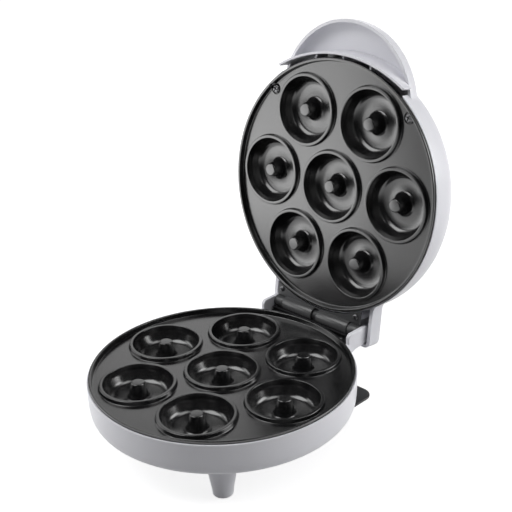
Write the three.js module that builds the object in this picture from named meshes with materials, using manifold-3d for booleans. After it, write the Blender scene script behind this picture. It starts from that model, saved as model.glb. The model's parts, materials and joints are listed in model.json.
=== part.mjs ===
// Seven-hole donut maker: a round clamshell with a heated, non-stick mould plate in each half.
// Millimetres, +Z up. The object stands on its feet with the lid open; -Y is the front, the hinge is at +Y.
// Every piece is built in the closed position. The lid group then turns about the hinge axis.
// Heights are measured from the parting plane, which is the top of the base plate's rim.

import * as THREE from 'three';
import { mergeVertices } from 'three/addons/utils/BufferGeometryUtils.js';
import Module from 'manifold-3d';

const wasm = await Module();
wasm.setup();

// ---------------------------------------------------------------- driving dimensions
const CLEARANCE = 0.3;          // gap left between neighbouring pieces
const EPS = 0.01;               // overshoot of a cutting tool past the face it opens
const FULL_TURN = Math.PI * 2;
const ROUND_SIDES = 48;         // facets round the shells and the plates' rims
const MOULD_SIDES = 14;         // facets round one mould

const LID_OPEN_DEG = 98;        // how far the lid stands open at rest
const PARTING_GAP = 0.5;        // rim to rim when closed

// mould plate; the size of one mould drives the plate, the shells and the hinge
const RIDGE_RADIUS = 27.7;      // outside of the raised ridge round each mould
const MOULD_SPACING = 6.6;      // land between neighbouring ridges
const RIM_MARGIN = 7.1;         // from the outer ridges to the plate's edge
const RIM_WIDTH = 1.7;
const RIM_THICKNESS = 2.2;
const LAND_DROP = 4;            // flat of the plate below the rim top
const PLATE_WALL = 2.5;
const RIM_SLOPE = 1.6;          // how far the rim's inner wall leans in
const OUTER_MOULDS = 6;
const RIDGE_WIDTH = 2.4;
const RIDGE_DRAFT = 0.7;        // ridge top inside its foot
const RIDGE_FLARE = 0.4;
const RIDGE_DROP = 1;           // ridge top below the rim top
const MOULD_DEPTH = 12.5;       // ridge top to the lowest part of the ring
const POST_RADIUS = 4.75;
const POST_FOOT = 4.7;          // how much wider the post is at its foot
const POST_DRAFT = 1.5;
const CAVITY_SHOULDER = 0.4;    // share of the depth where the walls start to round in
const CAVITY_DRAFT = 0.8;
const CAVITY_ROUND = 4.8;
const CAVITY_CROWN = 2;         // where the rounding ends, above the lowest part
const CUP_ROUND = [1.5, 1];

// shells
const SEAT_LEDGE = 0.9;         // shell wall left outside the plate's seat
const PLATE_PROUD = 2;          // rim of a plate past the edge of its shell
const SHELL_WALL = 2.4;
const BASE_TURN = 12;           // how far inside its rim the base floor starts to turn up
const BASE_SQUARENESS = 6;
const DOME_HEIGHT = 35.9;
const DOME_FLAT = 33;
const DOME_SQUARENESS = 4.4;

// hinge
const HINGE_SETBACK = 6.6;      // pin behind the shell
const HINGE_Z = 1.9;
const PIN_RADIUS = 1.65;
const PIN_END_WALL = 1;         // skin that closes the pin's bore in the right ear
const PIN_RECESS = 0.4;         // left end of the pin inside the left ear's face
const KNUCKLE_RADIUS = 5.5;
const KNUCKLE_END = 33.6;       // outer end of each knuckle
const SPACER_WIDTH = 3.4;
const BUSH_RADIUS = 4.8;
const EAR_INNER = 42.8;
const EAR_THICKNESS = 3.2;
const EAR_TOP = 6;
const EAR_BOTTOM = -8.8;
const EAR_REAR = 6.9;           // rear end of the ear behind the pin
const EAR_FRONT_CORNER = 5;
const EAR_REAR_CORNER = 3;
const EAR_ROOT = 8;             // how far the ear runs on into the shell
const EAR_ROOT_DROP = 5;
const EAR_CHAMFER = [2.5, 2.8]; // lower rear corner
const SHELF_THICKNESS = 3;
const SHELF_DROP = 8.5;         // shelf top below the pin
const ROOT_REACH = 24.6;        // how far in front of the pin the shelf and the cover start, inside the shell
const CRADLE_WALL = 2;
const CRADLE_FLANGE = 1.8;
const CRADLE_FRONT = 16.6;      // flange in front of the pin, before the shell trims it
const CRADLE_LIP = 3.2;         // top of the trough below the pin
const CRADLE_SCREW_X = 31;
const CRADLE_SCREW_SETBACK = 8.4;

// hood behind the lid
const HOOD_HALF_WIDTH = 50.5;
const HOOD_WALL = 3;
const HOOD_REAR_WALL = 2.4;
const HOOD_ROOF = 2.3;
const HOOD_REACH = 13;          // outside of the rear wall behind the pin
const HOOD_BOTTOM = 6.1;
const HOOD_TOP = 21.3;
const HOOD_CORNER = 4;
const HOOD_ROOT = 44.6;         // how far in front of the pin the hood starts, inside the dome

// hinge cover
const COVER_THICKNESS = 1.8;
const COVER_LIFT = 0.8;         // cover's underside above the parting gap
const COVER_SCREW_X = 38.2;
const COVER_SCREW_SETBACK = 10.8;
const COVER_SCREW_BITE = 7;
const COVER_BOSS_RADIUS = 3.4;

// handle at the front of the lid
const HANDLE_INSET = 35;        // the handle's centre inside the front of the shell
const HANDLE_RADIUS = 62;
const HANDLE_WALL = 2.3;
const HANDLE_BOTTOM = 9.3;
const HANDLE_HEIGHT = 13.7;
const HANDLE_FLAT = 34;
const HANDLE_SQUARENESS = 4.6;
const LIP_RADIUS = 117;
const LIP_OVERHANG = 3.3;       // the lip's outside in front of the shell
const LIP_WALL = 2;
const LIP_END_GAP = 2;          // each end of the lip inside the handle's radius
const LIP_RIB_PITCH = 26;
const LIP_RIB_WIDTH = 1.5;
const LIP_RIB_HEIGHT = 13;

// heating
const ELEMENT_RADIUS = 3;
const ELEMENT_END_X = 16;
const ELEMENT_END_INSET = 12;   // the terminals inside the rear of the shell
const ELEMENT_STRAIGHT = 9;
const ELEMENT_BEND = 1.25;      // share of the terminals' angle taken up by their bends
const ELEMENT_STEPS = 20;
const REFLECTOR_MARGIN = 10.6;  // edge of the tray inside the shell's inner wall
const REFLECTOR_SHEET = 0.5;
const REFLECTOR_RIM = 4;
const TRAY_GAP = 1.5;           // room for the clips between the element and the tray
const REFLECTOR_NOTCH_X = 22;
const REFLECTOR_NOTCH_DEPTH = 9;
const REFLECTOR_POST_RING = 36;
const REFLECTOR_POST_RADIUS = 3;
const CLIP_STRAP = 0.7;
const CLIP_REACH = 4.6;
const CLIP_WIDTH = 6;
const CLIP_COUNT = 3;
const CLIP_BOSS_RADIUS = 3.5;
const THERMOSTAT_RADIUS = 6.3;
const THERMOSTAT_HEIGHT = 8.5;
const THERMOSTAT_FLANGE = 3;
const THERMOSTAT_STEP = 1;
const FUSE_RADIUS = 2;
const FUSE_LENGTH = 10;
const FUSE_X = -4;
const FUSE_SETBACK = 9;         // behind the ring of moulds
const WIRING_Z = -11.5;
const LEAD_RADIUS = 1.1;
const LEAD_SPREAD = 1.8;        // leads pass side by side between two moulds
const LEAD_STRAIGHT = 4;        // each side of the narrowest place
const LEAD_BEND = 8;            // where the last lead turns towards the element's terminal
const LEAD_JOINT = 3;           // where it meets the terminal
const BLOCK_HALF_LENGTH = 11;
const BLOCK_INSET = 19;
const BLOCK_DEPTH = 6;
const BLOCK_RISE = 3;           // top of the block above the wiring
const BLOCK_CHANNEL = 1;

// feet and the rear cord wrap
const FRONT_FOOT_INSET = 45;
const REAR_FOOT_X = 30;
const REAR_FOOT_INSET = 23;     // set well back, to carry the open lid
const FOOT_TOP_RADIUS = 11.7;
const FOOT_BOTTOM_RADIUS = 7.3;
const FOOT_LENGTH = 28.4;
const FOOT_ROUNDING = 2.2;
const FOOT_TAPER_END = [0.5, 4];
const PEG_RADIUS = 3.2;
const PEG_HEIGHT = 2.2;
const PAD_RADIUS = 4.6;
const PAD_THICKNESS = 2.4;
const PAD_PROUD = 0.6;
const WRAP_HALF_WIDTH = 77.5;
const WRAP_INSET = 17.5;        // rear edge inside the shell
const WRAP_DEPTH = 34.5;
const WRAP_THICKNESS = 2;
const WRAP_CORNER = 9;
const WRAP_SCREW_X = 57;
const WRAP_SCREW_SETBACK = 14;

// cord inlet
const GLAND_Z = -17;
const GLAND_NECK = 4.2;
const GLAND_FLANGE = 6.6;
const GLAND_BORE = 2.8;
const GLAND_LENGTH = 11;
const GLAND_INSIDE = 4;         // how far it reaches in from the wall
const GLAND_COLLAR = [1.6, 1];  // flange thickness and the height of the cone behind it
const GLAND_TAPER = 0.6;

// fasteners and lamps
const SCREW_SHANK = 1.3;
const SCREW_HEAD = 2.3;
const SCREW_HEAD_HEIGHT = 1.4;
const LID_SCREW_SHANK = 1.8;
const LID_SCREW_HEAD = 3.5;
const LID_SCREW_HEAD_HEIGHT = 2;
const LID_SCREW_LENGTH = 12;
const LID_SCREW_MARGIN = 5.8;   // inside the plate's edge
const LID_SCREW_POCKET = 4.5;
const LID_BOSS_RADIUS = 4;
const PLATE_SCREW_MARGIN = 14.8;
const PLATE_SCREW_COUNT = 3;
const PLATE_SCREW_LENGTH = 17;
const PLATE_BOSS_TOP = -12;
const PLATE_BOSS_RADIUS = 4;
const LAMP_X = 10;
const LAMP_Y = -48;
const LAMP_RADIUS = 3.4;
const LAMP_PROUD = 0.9;
const LAMP_SINK = 3;
const LAMP_BOARD = [17, 6, 1.6];

// ---------------------------------------------------------------- derived sizes
const MOULD_RING = 2 * RIDGE_RADIUS + MOULD_SPACING;
const PLATE_RADIUS = MOULD_RING + RIDGE_RADIUS + RIM_MARGIN;
const RIM_INNER = PLATE_RADIUS - RIM_WIDTH;
const LAND_UNDERSIDE = -LAND_DROP - PLATE_WALL;
const MOULD_BOTTOM = -RIDGE_DROP - MOULD_DEPTH;
const CUP_BOTTOM = MOULD_BOTTOM - PLATE_WALL;
const CAVITY_RADIUS = RIDGE_RADIUS - RIDGE_WIDTH;
const ELEMENT_Z = CUP_BOTTOM - CLEARANCE - ELEMENT_RADIUS;
const BASE_DEPTH = ELEMENT_RADIUS - ELEMENT_Z + TRAY_GAP + REFLECTOR_SHEET + CLEARANCE + SHELL_WALL;
const FLOOR_TOP = SHELL_WALL - BASE_DEPTH;
const REFLECTOR_BOTTOM = FLOOR_TOP + CLEARANCE;
const SEAT_RADIUS = PLATE_RADIUS + CLEARANCE;
const SEAT_DEPTH = RIM_THICKNESS + CLEARANCE;
const SHELL_RADIUS = SEAT_RADIUS + SEAT_LEDGE;
const BASE_FLAT = SHELL_RADIUS - BASE_TURN;
const INNER_RADIUS = SHELL_RADIUS - SHELL_WALL;
const HINGE_Y = SHELL_RADIUS + HINGE_SETBACK;
const ROOT_Y = HINGE_Y - ROOT_REACH;
const CRADLE_SCREW_Y = HINGE_Y - CRADLE_SCREW_SETBACK;
const COVER_SCREW_Y = HINGE_Y - COVER_SCREW_SETBACK;
const COVER_LOW = PARTING_GAP + COVER_LIFT;
const HANDLE_CENTRE_Y = HANDLE_INSET - SHELL_RADIUS;
const LIP_FRONT = SHELL_RADIUS + LIP_OVERHANG;
const LIP_HALF_WIDTH = HANDLE_RADIUS - LIP_END_GAP;
const ELEMENT_RING = MOULD_RING;
const ELEMENT_END_Y = SHELL_RADIUS - ELEMENT_END_INSET;
const REFLECTOR_RADIUS = INNER_RADIUS - REFLECTOR_MARGIN;
const FUSE_Y = MOULD_RING + FUSE_SETBACK;
const BLOCK_FRONT = SHELL_RADIUS - BLOCK_INSET;
const FRONT_FOOT = [SHELL_RADIUS - FRONT_FOOT_INSET, FRONT_FOOT_INSET - SHELL_RADIUS];
const REAR_FOOT = [REAR_FOOT_X, SHELL_RADIUS - REAR_FOOT_INSET];
const WRAP_REAR = SHELL_RADIUS - WRAP_INSET;
const WRAP_FRONT = WRAP_REAR - WRAP_DEPTH;
const WRAP_SCREW_Y = WRAP_FRONT + WRAP_SCREW_SETBACK;
const EAR_OUTER = EAR_INNER + EAR_THICKNESS;
const KNUCKLE_START = SPACER_WIDTH / 2 + CLEARANCE;
const PIN_BORE = PIN_RADIUS + CLEARANCE;
const SHELF_TOP = HINGE_Z - SHELF_DROP;
const HOOD_REAR = HINGE_Y + HOOD_REACH;
const DOME_TOP = PARTING_GAP + DOME_HEIGHT;
const DOME_CEILING = DOME_TOP - SHELL_WALL;
const FOOT_TOP = -BASE_DEPTH - CLEARANCE;
const FOOT_BOTTOM = FOOT_TOP - FOOT_LENGTH;
const RIB_BOTTOM = PARTING_GAP + SEAT_DEPTH + 1;
const LID_SCREW_XY = (PLATE_RADIUS - LID_SCREW_MARGIN) * Math.SQRT1_2;
const PLATE_SCREW_RING = PLATE_RADIUS - PLATE_SCREW_MARGIN;
const MOULD_GAP_RADIUS = MOULD_RING / Math.sqrt(3);

// ---------------------------------------------------------------- materials
function finish(color, roughness, metalness) {
  return { color, roughness, metalness };
}
const WHITE_PLASTIC = finish(0xdcdbe4, 0.35, 0);
const BLACK_PLASTIC = finish(0x222226, 0.5, 0);
const GREY_PLASTIC = finish(0x77777a, 0.45, 0);
const NON_STICK = finish(0x3c3c40, 0.4, 0.3);
const STEEL = finish(0xb8babd, 0.3, 1);
const DARK_STEEL = finish(0x3a3a3c, 0.4, 0.9);
const ALUMINIUM = finish(0xc8cacc, 0.35, 1);
const RUBBER = finish(0x1c1c1e, 0.85, 0);
const CERAMIC = finish(0xe6dfd0, 0.6, 0);
const RED_LENS = finish(0xb01818, 0.2, 0);
const GREEN_LENS = finish(0x1c8a3c, 0.2, 0);
const SILICONE = finish(0xa8281e, 0.6, 0);

// ---------------------------------------------------------------- solids
function toSolid(geometry) {
  const bare = geometry.index ? geometry.toNonIndexed() : geometry.clone();
  bare.deleteAttribute('normal');
  bare.deleteAttribute('uv');
  const merged = mergeVertices(bare, 1e-4);
  const vertProperties = new Float32Array(merged.attributes.position.array);
  const index = Array.from(merged.index.array);
  const triVerts = [];
  for (let i = 0; i < index.length; i += 3) {
    const [a, b, c] = index.slice(i, i + 3);
    if (a !== b && b !== c && c !== a) triVerts.push(a, b, c);
  }
  const outward = signedVolume(vertProperties, triVerts) >= 0;
  if (!outward) triVerts.reverse();
  return new wasm.Manifold(new wasm.Mesh({
    numProp: 3, vertProperties, triVerts: new Uint32Array(triVerts),
  }));
}

function signedVolume(points, triangles) {
  const a = new THREE.Vector3();
  const b = new THREE.Vector3();
  const c = new THREE.Vector3();
  let volume = 0;
  for (let i = 0; i < triangles.length; i += 3) {
    a.fromArray(points, triangles[i] * 3);
    b.fromArray(points, triangles[i + 1] * 3);
    c.fromArray(points, triangles[i + 2] * 3);
    volume += a.dot(b.cross(c)) / 6;
  }
  return volume;
}

function toGeometry(solid) {
  const mesh = solid.getMesh();
  const geometry = new THREE.BufferGeometry();
  const positions = new Float32Array(mesh.vertProperties);
  geometry.setAttribute('position', new THREE.BufferAttribute(positions, 3));
  geometry.setIndex(Array.from(mesh.triVerts));
  geometry.computeVertexNormals();
  return geometry;
}

// A profile of [radius, height] pairs spun about the Z axis.
function spin(profile, segments) {
  const points = profile.map(([radius, height]) => new THREE.Vector2(radius, height));
  return toSolid(new THREE.LatheGeometry(points, segments).rotateX(Math.PI / 2));
}

function ring(profile, segments) {
  return spin([...profile, profile[0]], segments);
}

function disc(radius, bottom, top, segments, x = 0, y = 0) {
  const height = top - bottom;
  const geometry = new THREE.CylinderGeometry(radius, radius, height, segments);
  geometry.rotateX(Math.PI / 2).translate(x, y, bottom + height / 2);
  return toSolid(geometry);
}

// A cylinder along X from one end to the other.
function rod(radius, start, end, segments, y = HINGE_Y, z = HINGE_Z) {
  const geometry = new THREE.CylinderGeometry(radius, radius, end - start, segments);
  geometry.rotateZ(Math.PI / 2).translate((start + end) / 2, y, z);
  return toSolid(geometry);
}

// A block given by its lowest and highest corners.
function block(low, high) {
  const size = high.map((value, axis) => value - low[axis]);
  const centre = high.map((value, axis) => (value + low[axis]) / 2);
  return toSolid(new THREE.BoxGeometry(...size).translate(...centre));
}

// An outline in the Y-Z plane, given as a shape of (y, z), drawn out along X.
function drawnAlongX(shape, start, end, curveSegments = 6) {
  const geometry = new THREE.ExtrudeGeometry(shape, { depth: end - start, bevelEnabled: false, curveSegments });
  const basis = new THREE.Matrix4().makeBasis(
    new THREE.Vector3(0, 1, 0),
    new THREE.Vector3(0, 0, 1),
    new THREE.Vector3(1, 0, 0),
  );
  geometry.applyMatrix4(basis);
  geometry.translate(start, 0, 0);
  return toSolid(geometry);
}

// An outline in the X-Y plane drawn up along Z.
function drawnUp(shape, bottom, top, curveSegments = 8) {
  const depth = top - bottom;
  const geometry = new THREE.ExtrudeGeometry(shape, { depth, bevelEnabled: false, curveSegments });
  return toSolid(geometry.translate(0, 0, bottom));
}

function roundedRectangle(left, right, front, rear, corner) {
  const shape = new THREE.Shape();
  shape.moveTo(left + corner, front);
  shape.lineTo(right - corner, front);
  shape.absarc(right - corner, front + corner, corner, -Math.PI / 2, 0);
  shape.lineTo(right, rear - corner);
  shape.absarc(right - corner, rear - corner, corner, 0, Math.PI / 2);
  shape.lineTo(left + corner, rear);
  shape.absarc(left + corner, rear - corner, corner, Math.PI / 2, Math.PI);
  shape.lineTo(left, front + corner);
  shape.absarc(left + corner, front + corner, corner, Math.PI, Math.PI * 1.5);
  return shape;
}

function tube(points, radius, steps, sides) {
  const path = new THREE.CurvePath();
  for (let i = 1; i < points.length; i += 1) {
    path.add(new THREE.LineCurve3(new THREE.Vector3(...points[i - 1]), new THREE.Vector3(...points[i])));
  }
  const section = new THREE.Shape();
  for (let i = 0; i < sides; i += 1) {
    const turn = (i / sides) * FULL_TURN;
    const corner = [radius * Math.cos(turn), radius * Math.sin(turn)];
    if (i === 0) section.moveTo(...corner);
    else section.lineTo(...corner);
  }
  const corners = points.map((point) => new THREE.Vector3(...point));
  const curve = points.length > 2 ? new THREE.CatmullRomCurve3(corners) : path;
  return toSolid(new THREE.ExtrudeGeometry(section, { extrudePath: curve, steps, bevelEnabled: false }));
}

function join(solids) {
  return solids.reduce((sum, next) => sum.add(next));
}

function cut(solid, tools) {
  return tools.reduce((rest, tool) => rest.subtract(tool), solid);
}

function mirrorX(solid) {
  return solid.mirror([1, 0, 0]);
}

// Half section of a bowl: a flat middle, then a squarish turn up to the rim.
function bowlRadius(depth, rim, flat, height, squareness) {
  const share = 1 - (depth / height) ** squareness;
  return flat + (rim - flat) * Math.max(share, 0) ** (1 / squareness);
}

function bowlProfile(rim, flat, height, squareness, steps) {
  const profile = [];
  for (let i = 0; i <= steps; i += 1) {
    const depth = height * Math.sin((i / steps) * (Math.PI / 2));
    profile.push([bowlRadius(depth, rim, flat, height, squareness), depth]);
  }
  return profile;
}

// ---------------------------------------------------------------- mould plates
// A plate is built with its cooking side up and its rim top at height zero.
function mouldCentres() {
  const centres = [[0, 0]];
  for (let i = 0; i < OUTER_MOULDS; i += 1) {
    const turn = (i / OUTER_MOULDS) * FULL_TURN;
    centres.push([MOULD_RING * Math.cos(turn), MOULD_RING * Math.sin(turn)]);
  }
  return centres;
}

function plateDish() {
  return spin([
    [0, -LAND_DROP],
    [RIM_INNER - RIM_SLOPE, -LAND_DROP],
    [RIM_INNER, 0],
    [PLATE_RADIUS, 0],
    [PLATE_RADIUS, -RIM_THICKNESS],
    [RIM_INNER, -RIM_THICKNESS],
    [RIM_INNER - RIM_SLOPE, LAND_UNDERSIDE],
    [0, LAND_UNDERSIDE],
  ], ROUND_SIDES);
}

function mouldCup() {
  const middle = (CAVITY_RADIUS + POST_RADIUS) / 2;
  return spin([
    [0, -RIDGE_DROP],
    [RIDGE_RADIUS - RIDGE_DRAFT, -RIDGE_DROP],
    [RIDGE_RADIUS + RIDGE_FLARE, -LAND_DROP],
    [RIDGE_RADIUS, LAND_UNDERSIDE],
    [CAVITY_RADIUS - CUP_ROUND[0], MOULD_BOTTOM + CUP_ROUND[1]],
    [middle + CAVITY_CROWN, CUP_BOTTOM],
    [0, CUP_BOTTOM],
  ], MOULD_SIDES);
}

function mouldCavity() {
  const middle = (CAVITY_RADIUS + POST_RADIUS) / 2;
  const foot = POST_RADIUS + POST_FOOT;
  return ring([
    [CAVITY_RADIUS, EPS - RIDGE_DROP],
    [CAVITY_RADIUS - CAVITY_DRAFT, -MOULD_DEPTH * CAVITY_SHOULDER],
    [CAVITY_RADIUS - CAVITY_ROUND, MOULD_BOTTOM + CAVITY_CROWN],
    [middle, MOULD_BOTTOM],
    [foot, MOULD_BOTTOM + CAVITY_CROWN],
    [POST_RADIUS + POST_DRAFT, -MOULD_DEPTH * CAVITY_SHOULDER],
    [POST_RADIUS, EPS - RIDGE_DROP],
  ], MOULD_SIDES);
}

// Places evenly spread on a ring, half-way between the outer moulds.
function betweenMoulds(radius, count) {
  const places = [];
  for (let i = 0; i < count; i += 1) {
    const turn = (i / count + 0.5 / OUTER_MOULDS) * FULL_TURN;
    places.push([radius * Math.cos(turn), radius * Math.sin(turn), turn]);
  }
  return places;
}

function mouldPlate() {
  const cup = mouldCup();
  const cavity = mouldCavity();
  const centres = mouldCentres();
  const cups = centres.map(([x, y]) => cup.translate([x, y, 0]));
  const cavities = centres.map(([x, y]) => cavity.translate([x, y, 0]));
  const bosses = betweenMoulds(ELEMENT_RING, CLIP_COUNT)
    .map(([x, y]) => disc(CLIP_BOSS_RADIUS, CUP_BOTTOM, LAND_UNDERSIDE + 1, 8, x, y));
  return cut(join([plateDish(), ...cups, ...bosses]), cavities);
}

// The base plate also has blind bosses for the three screws that come up through the base.
function basePlate() {
  const bosses = betweenMoulds(PLATE_SCREW_RING, PLATE_SCREW_COUNT)
    .map(([x, y]) => disc(PLATE_BOSS_RADIUS, PLATE_BOSS_TOP + CLEARANCE, LAND_UNDERSIDE + 1, 8, x, y));
  const bores = plateScrews(CLEARANCE);
  return cut(join([mouldPlate(), ...bosses]), bores);
}

// ---------------------------------------------------------------- fasteners
// A pan-head screw pointing up, its head's underside at height zero.
function panScrew(shank, head, headHeight, length, grow = 0) {
  return spin([
    [0, length + grow],
    [shank + grow, length + grow],
    [shank + grow, 0],
    [head + grow, 0],
    [head + grow, -headHeight * 0.5],
    [head * 0.65 + grow, -headHeight],
    [0, -headHeight],
  ], 10);
}

// ---------------------------------------------------------------- heating
function heatingElement() {
  const points = [];
  const gap = Math.asin(ELEMENT_END_X / ELEMENT_RING) * ELEMENT_BEND;
  points.push([ELEMENT_END_X, ELEMENT_END_Y, ELEMENT_Z]);
  points.push([ELEMENT_END_X, ELEMENT_END_Y - ELEMENT_STRAIGHT, ELEMENT_Z]);
  for (let i = 0; i <= ELEMENT_STEPS; i += 1) {
    const turn = Math.PI / 2 - gap - (i / ELEMENT_STEPS) * (FULL_TURN - 2 * gap);
    points.push([ELEMENT_RING * Math.cos(turn), ELEMENT_RING * Math.sin(turn), ELEMENT_Z]);
  }
  points.push([-ELEMENT_END_X, ELEMENT_END_Y - ELEMENT_STRAIGHT, ELEMENT_Z]);
  points.push([-ELEMENT_END_X, ELEMENT_END_Y, ELEMENT_Z]);
  return tube(points, ELEMENT_RADIUS, 40, 6);
}

// A strap that cradles the element under a boss of the plate.
function elementClip(x, y, turn) {
  const bottom = ELEMENT_Z - ELEMENT_RADIUS - CLEARANCE - CLIP_STRAP;
  const top = CUP_BOTTOM - CLEARANCE;
  const slab = block([-CLIP_REACH, -CLIP_WIDTH / 2, bottom], [CLIP_REACH, CLIP_WIDTH / 2, top])
    .rotate([0, 0, THREE.MathUtils.radToDeg(turn)])
    .translate([x, y, 0]);
  const slot = ring([
    [ELEMENT_RING - ELEMENT_RADIUS - CLEARANCE, ELEMENT_Z],
    [ELEMENT_RING - (ELEMENT_RADIUS + CLEARANCE) * 0.6, ELEMENT_Z - ELEMENT_RADIUS - CLEARANCE],
    [ELEMENT_RING + (ELEMENT_RADIUS + CLEARANCE) * 0.6, ELEMENT_Z - ELEMENT_RADIUS - CLEARANCE],
    [ELEMENT_RING + ELEMENT_RADIUS + CLEARANCE, ELEMENT_Z],
    [ELEMENT_RING + ELEMENT_RADIUS + CLEARANCE, top + 1],
    [ELEMENT_RING - ELEMENT_RADIUS - CLEARANCE, top + 1],
  ], ROUND_SIDES);
  return slab.subtract(slot);
}

// A shallow tray that throws the heat back at the moulds, notched at the rear for the terminals.
function reflector() {
  const inner = REFLECTOR_RADIUS - REFLECTOR_SHEET;
  const floor = REFLECTOR_BOTTOM + REFLECTOR_SHEET;
  const tray = spin([
    [0, REFLECTOR_BOTTOM],
    [inner, REFLECTOR_BOTTOM],
    [REFLECTOR_RADIUS, REFLECTOR_BOTTOM + REFLECTOR_SHEET],
    [REFLECTOR_RADIUS, REFLECTOR_BOTTOM + REFLECTOR_RIM],
    [inner, REFLECTOR_BOTTOM + REFLECTOR_RIM],
    [inner - REFLECTOR_SHEET, floor],
    [0, floor],
  ], 36);
  const notch = block(
    [-REFLECTOR_NOTCH_X, REFLECTOR_RADIUS - REFLECTOR_NOTCH_DEPTH, REFLECTOR_BOTTOM - 1],
    [REFLECTOR_NOTCH_X, REFLECTOR_RADIUS + 1, REFLECTOR_BOTTOM + REFLECTOR_RIM + 1],
  );
  return tray.subtract(notch);
}

function baseReflector() {
  const holes = betweenMoulds(PLATE_SCREW_RING, PLATE_SCREW_COUNT)
    .map(([x, y]) => disc(PLATE_BOSS_RADIUS + CLEARANCE, FLOOR_TOP, CUP_BOTTOM, 10, x, y));
  return cut(reflector(), holes);
}

function lidReflector() {
  const top = REFLECTOR_BOTTOM + REFLECTOR_RIM + 1;
  const holes = [-LID_SCREW_XY, LID_SCREW_XY]
    .map((x) => disc(LID_BOSS_RADIUS + CLEARANCE, FLOOR_TOP, top, 10, x, -LID_SCREW_XY));
  return cut(reflector(), holes);
}

function thermostat() {
  const top = LAND_UNDERSIDE - CLEARANCE;
  return spin([
    [0, top],
    [THERMOSTAT_RADIUS, top],
    [THERMOSTAT_RADIUS, top - THERMOSTAT_FLANGE],
    [THERMOSTAT_RADIUS - THERMOSTAT_STEP, top - THERMOSTAT_FLANGE - THERMOSTAT_STEP / 2],
    [THERMOSTAT_RADIUS - THERMOSTAT_STEP, top - THERMOSTAT_HEIGHT],
    [0, top - THERMOSTAT_HEIGHT],
  ], 14).translate([0, MOULD_GAP_RADIUS, 0]);
}

function thermalFuse() {
  const geometry = new THREE.CylinderGeometry(FUSE_RADIUS, FUSE_RADIUS, FUSE_LENGTH, 10);
  return toSolid(geometry.translate(FUSE_X, FUSE_Y, WIRING_Z));
}

function lead(points) {
  return tube(points, LEAD_RADIUS, (points.length - 1) * 3, 6);
}

// Leads run from the terminal block to the fuse, on to the thermostat, and back to one element end.
function supplyLead() {
  return lead([
    [FUSE_X, BLOCK_FRONT - CLEARANCE, WIRING_Z],
    [FUSE_X, FUSE_Y + FUSE_LENGTH / 2 + CLEARANCE, WIRING_Z],
  ]);
}

function fuseLead() {
  const narrow = MOULD_RING * Math.sin(Math.PI / 3);
  return lead([
    [FUSE_X, FUSE_Y - FUSE_LENGTH / 2 - CLEARANCE, WIRING_Z],
    [-LEAD_SPREAD, narrow + LEAD_STRAIGHT, WIRING_Z],
    [-LEAD_SPREAD, narrow - LEAD_STRAIGHT, WIRING_Z],
    [-LEAD_SPREAD, MOULD_GAP_RADIUS + THERMOSTAT_RADIUS, WIRING_Z],
  ]);
}

function elementLead() {
  const narrow = MOULD_RING * Math.sin(Math.PI / 3);
  return lead([
    [LEAD_SPREAD, MOULD_GAP_RADIUS + THERMOSTAT_RADIUS, WIRING_Z],
    [LEAD_SPREAD, narrow - LEAD_STRAIGHT, WIRING_Z],
    [LEAD_SPREAD, narrow + LEAD_STRAIGHT, WIRING_Z],
    [-FUSE_X, FUSE_Y, WIRING_Z],
    [ELEMENT_END_X - LEAD_RADIUS, ELEMENT_END_Y - LEAD_BEND, WIRING_Z],
    [ELEMENT_END_X, ELEMENT_END_Y - LEAD_JOINT, ELEMENT_Z + ELEMENT_RADIUS + LEAD_RADIUS + CLEARANCE],
  ]);
}

function terminalBlock() {
  const bottom = FLOOR_TOP + CLEARANCE;
  const body = block(
    [-BLOCK_HALF_LENGTH, BLOCK_FRONT, bottom],
    [BLOCK_HALF_LENGTH, BLOCK_FRONT + BLOCK_DEPTH, WIRING_Z + BLOCK_RISE],
  );
  const channels = [-BLOCK_HALF_LENGTH / 3, BLOCK_HALF_LENGTH / 3].map((x) => block(
    [x - BLOCK_CHANNEL, BLOCK_FRONT - 1, WIRING_Z + BLOCK_CHANNEL],
    [x + BLOCK_CHANNEL, BLOCK_FRONT + BLOCK_DEPTH + 1, WIRING_Z + BLOCK_RISE + 1],
  ));
  return cut(body, channels);
}

// ---------------------------------------------------------------- base
function footPlaces() {
  return [FRONT_FOOT, REAR_FOOT].flatMap(([x, y]) => [[-x, y], [x, y]]);
}

function plateScrews(grow) {
  const screw = panScrew(SCREW_SHANK, SCREW_HEAD, SCREW_HEAD_HEIGHT, PLATE_SCREW_LENGTH, grow);
  return betweenMoulds(PLATE_SCREW_RING, PLATE_SCREW_COUNT)
    .map(([x, y]) => screw.translate([x, y, -BASE_DEPTH]));
}

function wrapScrews(grow) {
  const under = -BASE_DEPTH - CLEARANCE - WRAP_THICKNESS;
  const screw = panScrew(SCREW_SHANK, SCREW_HEAD, SCREW_HEAD_HEIGHT, WRAP_THICKNESS + SHELL_WALL - 0.2, grow);
  return [-WRAP_SCREW_X, WRAP_SCREW_X].map((x) => screw.translate([x, WRAP_SCREW_Y, under]));
}

function cradleScrews(grow) {
  const length = CRADLE_FLANGE + SHELF_THICKNESS;
  const screw = panScrew(SCREW_SHANK, SCREW_HEAD, SCREW_HEAD_HEIGHT, length, grow).mirror([0, 0, 1]);
  const seat = SHELF_TOP + CLEARANCE + CRADLE_FLANGE;
  return [-CRADLE_SCREW_X, CRADLE_SCREW_X].map((x) => screw.translate([x, CRADLE_SCREW_Y, seat]));
}

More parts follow.
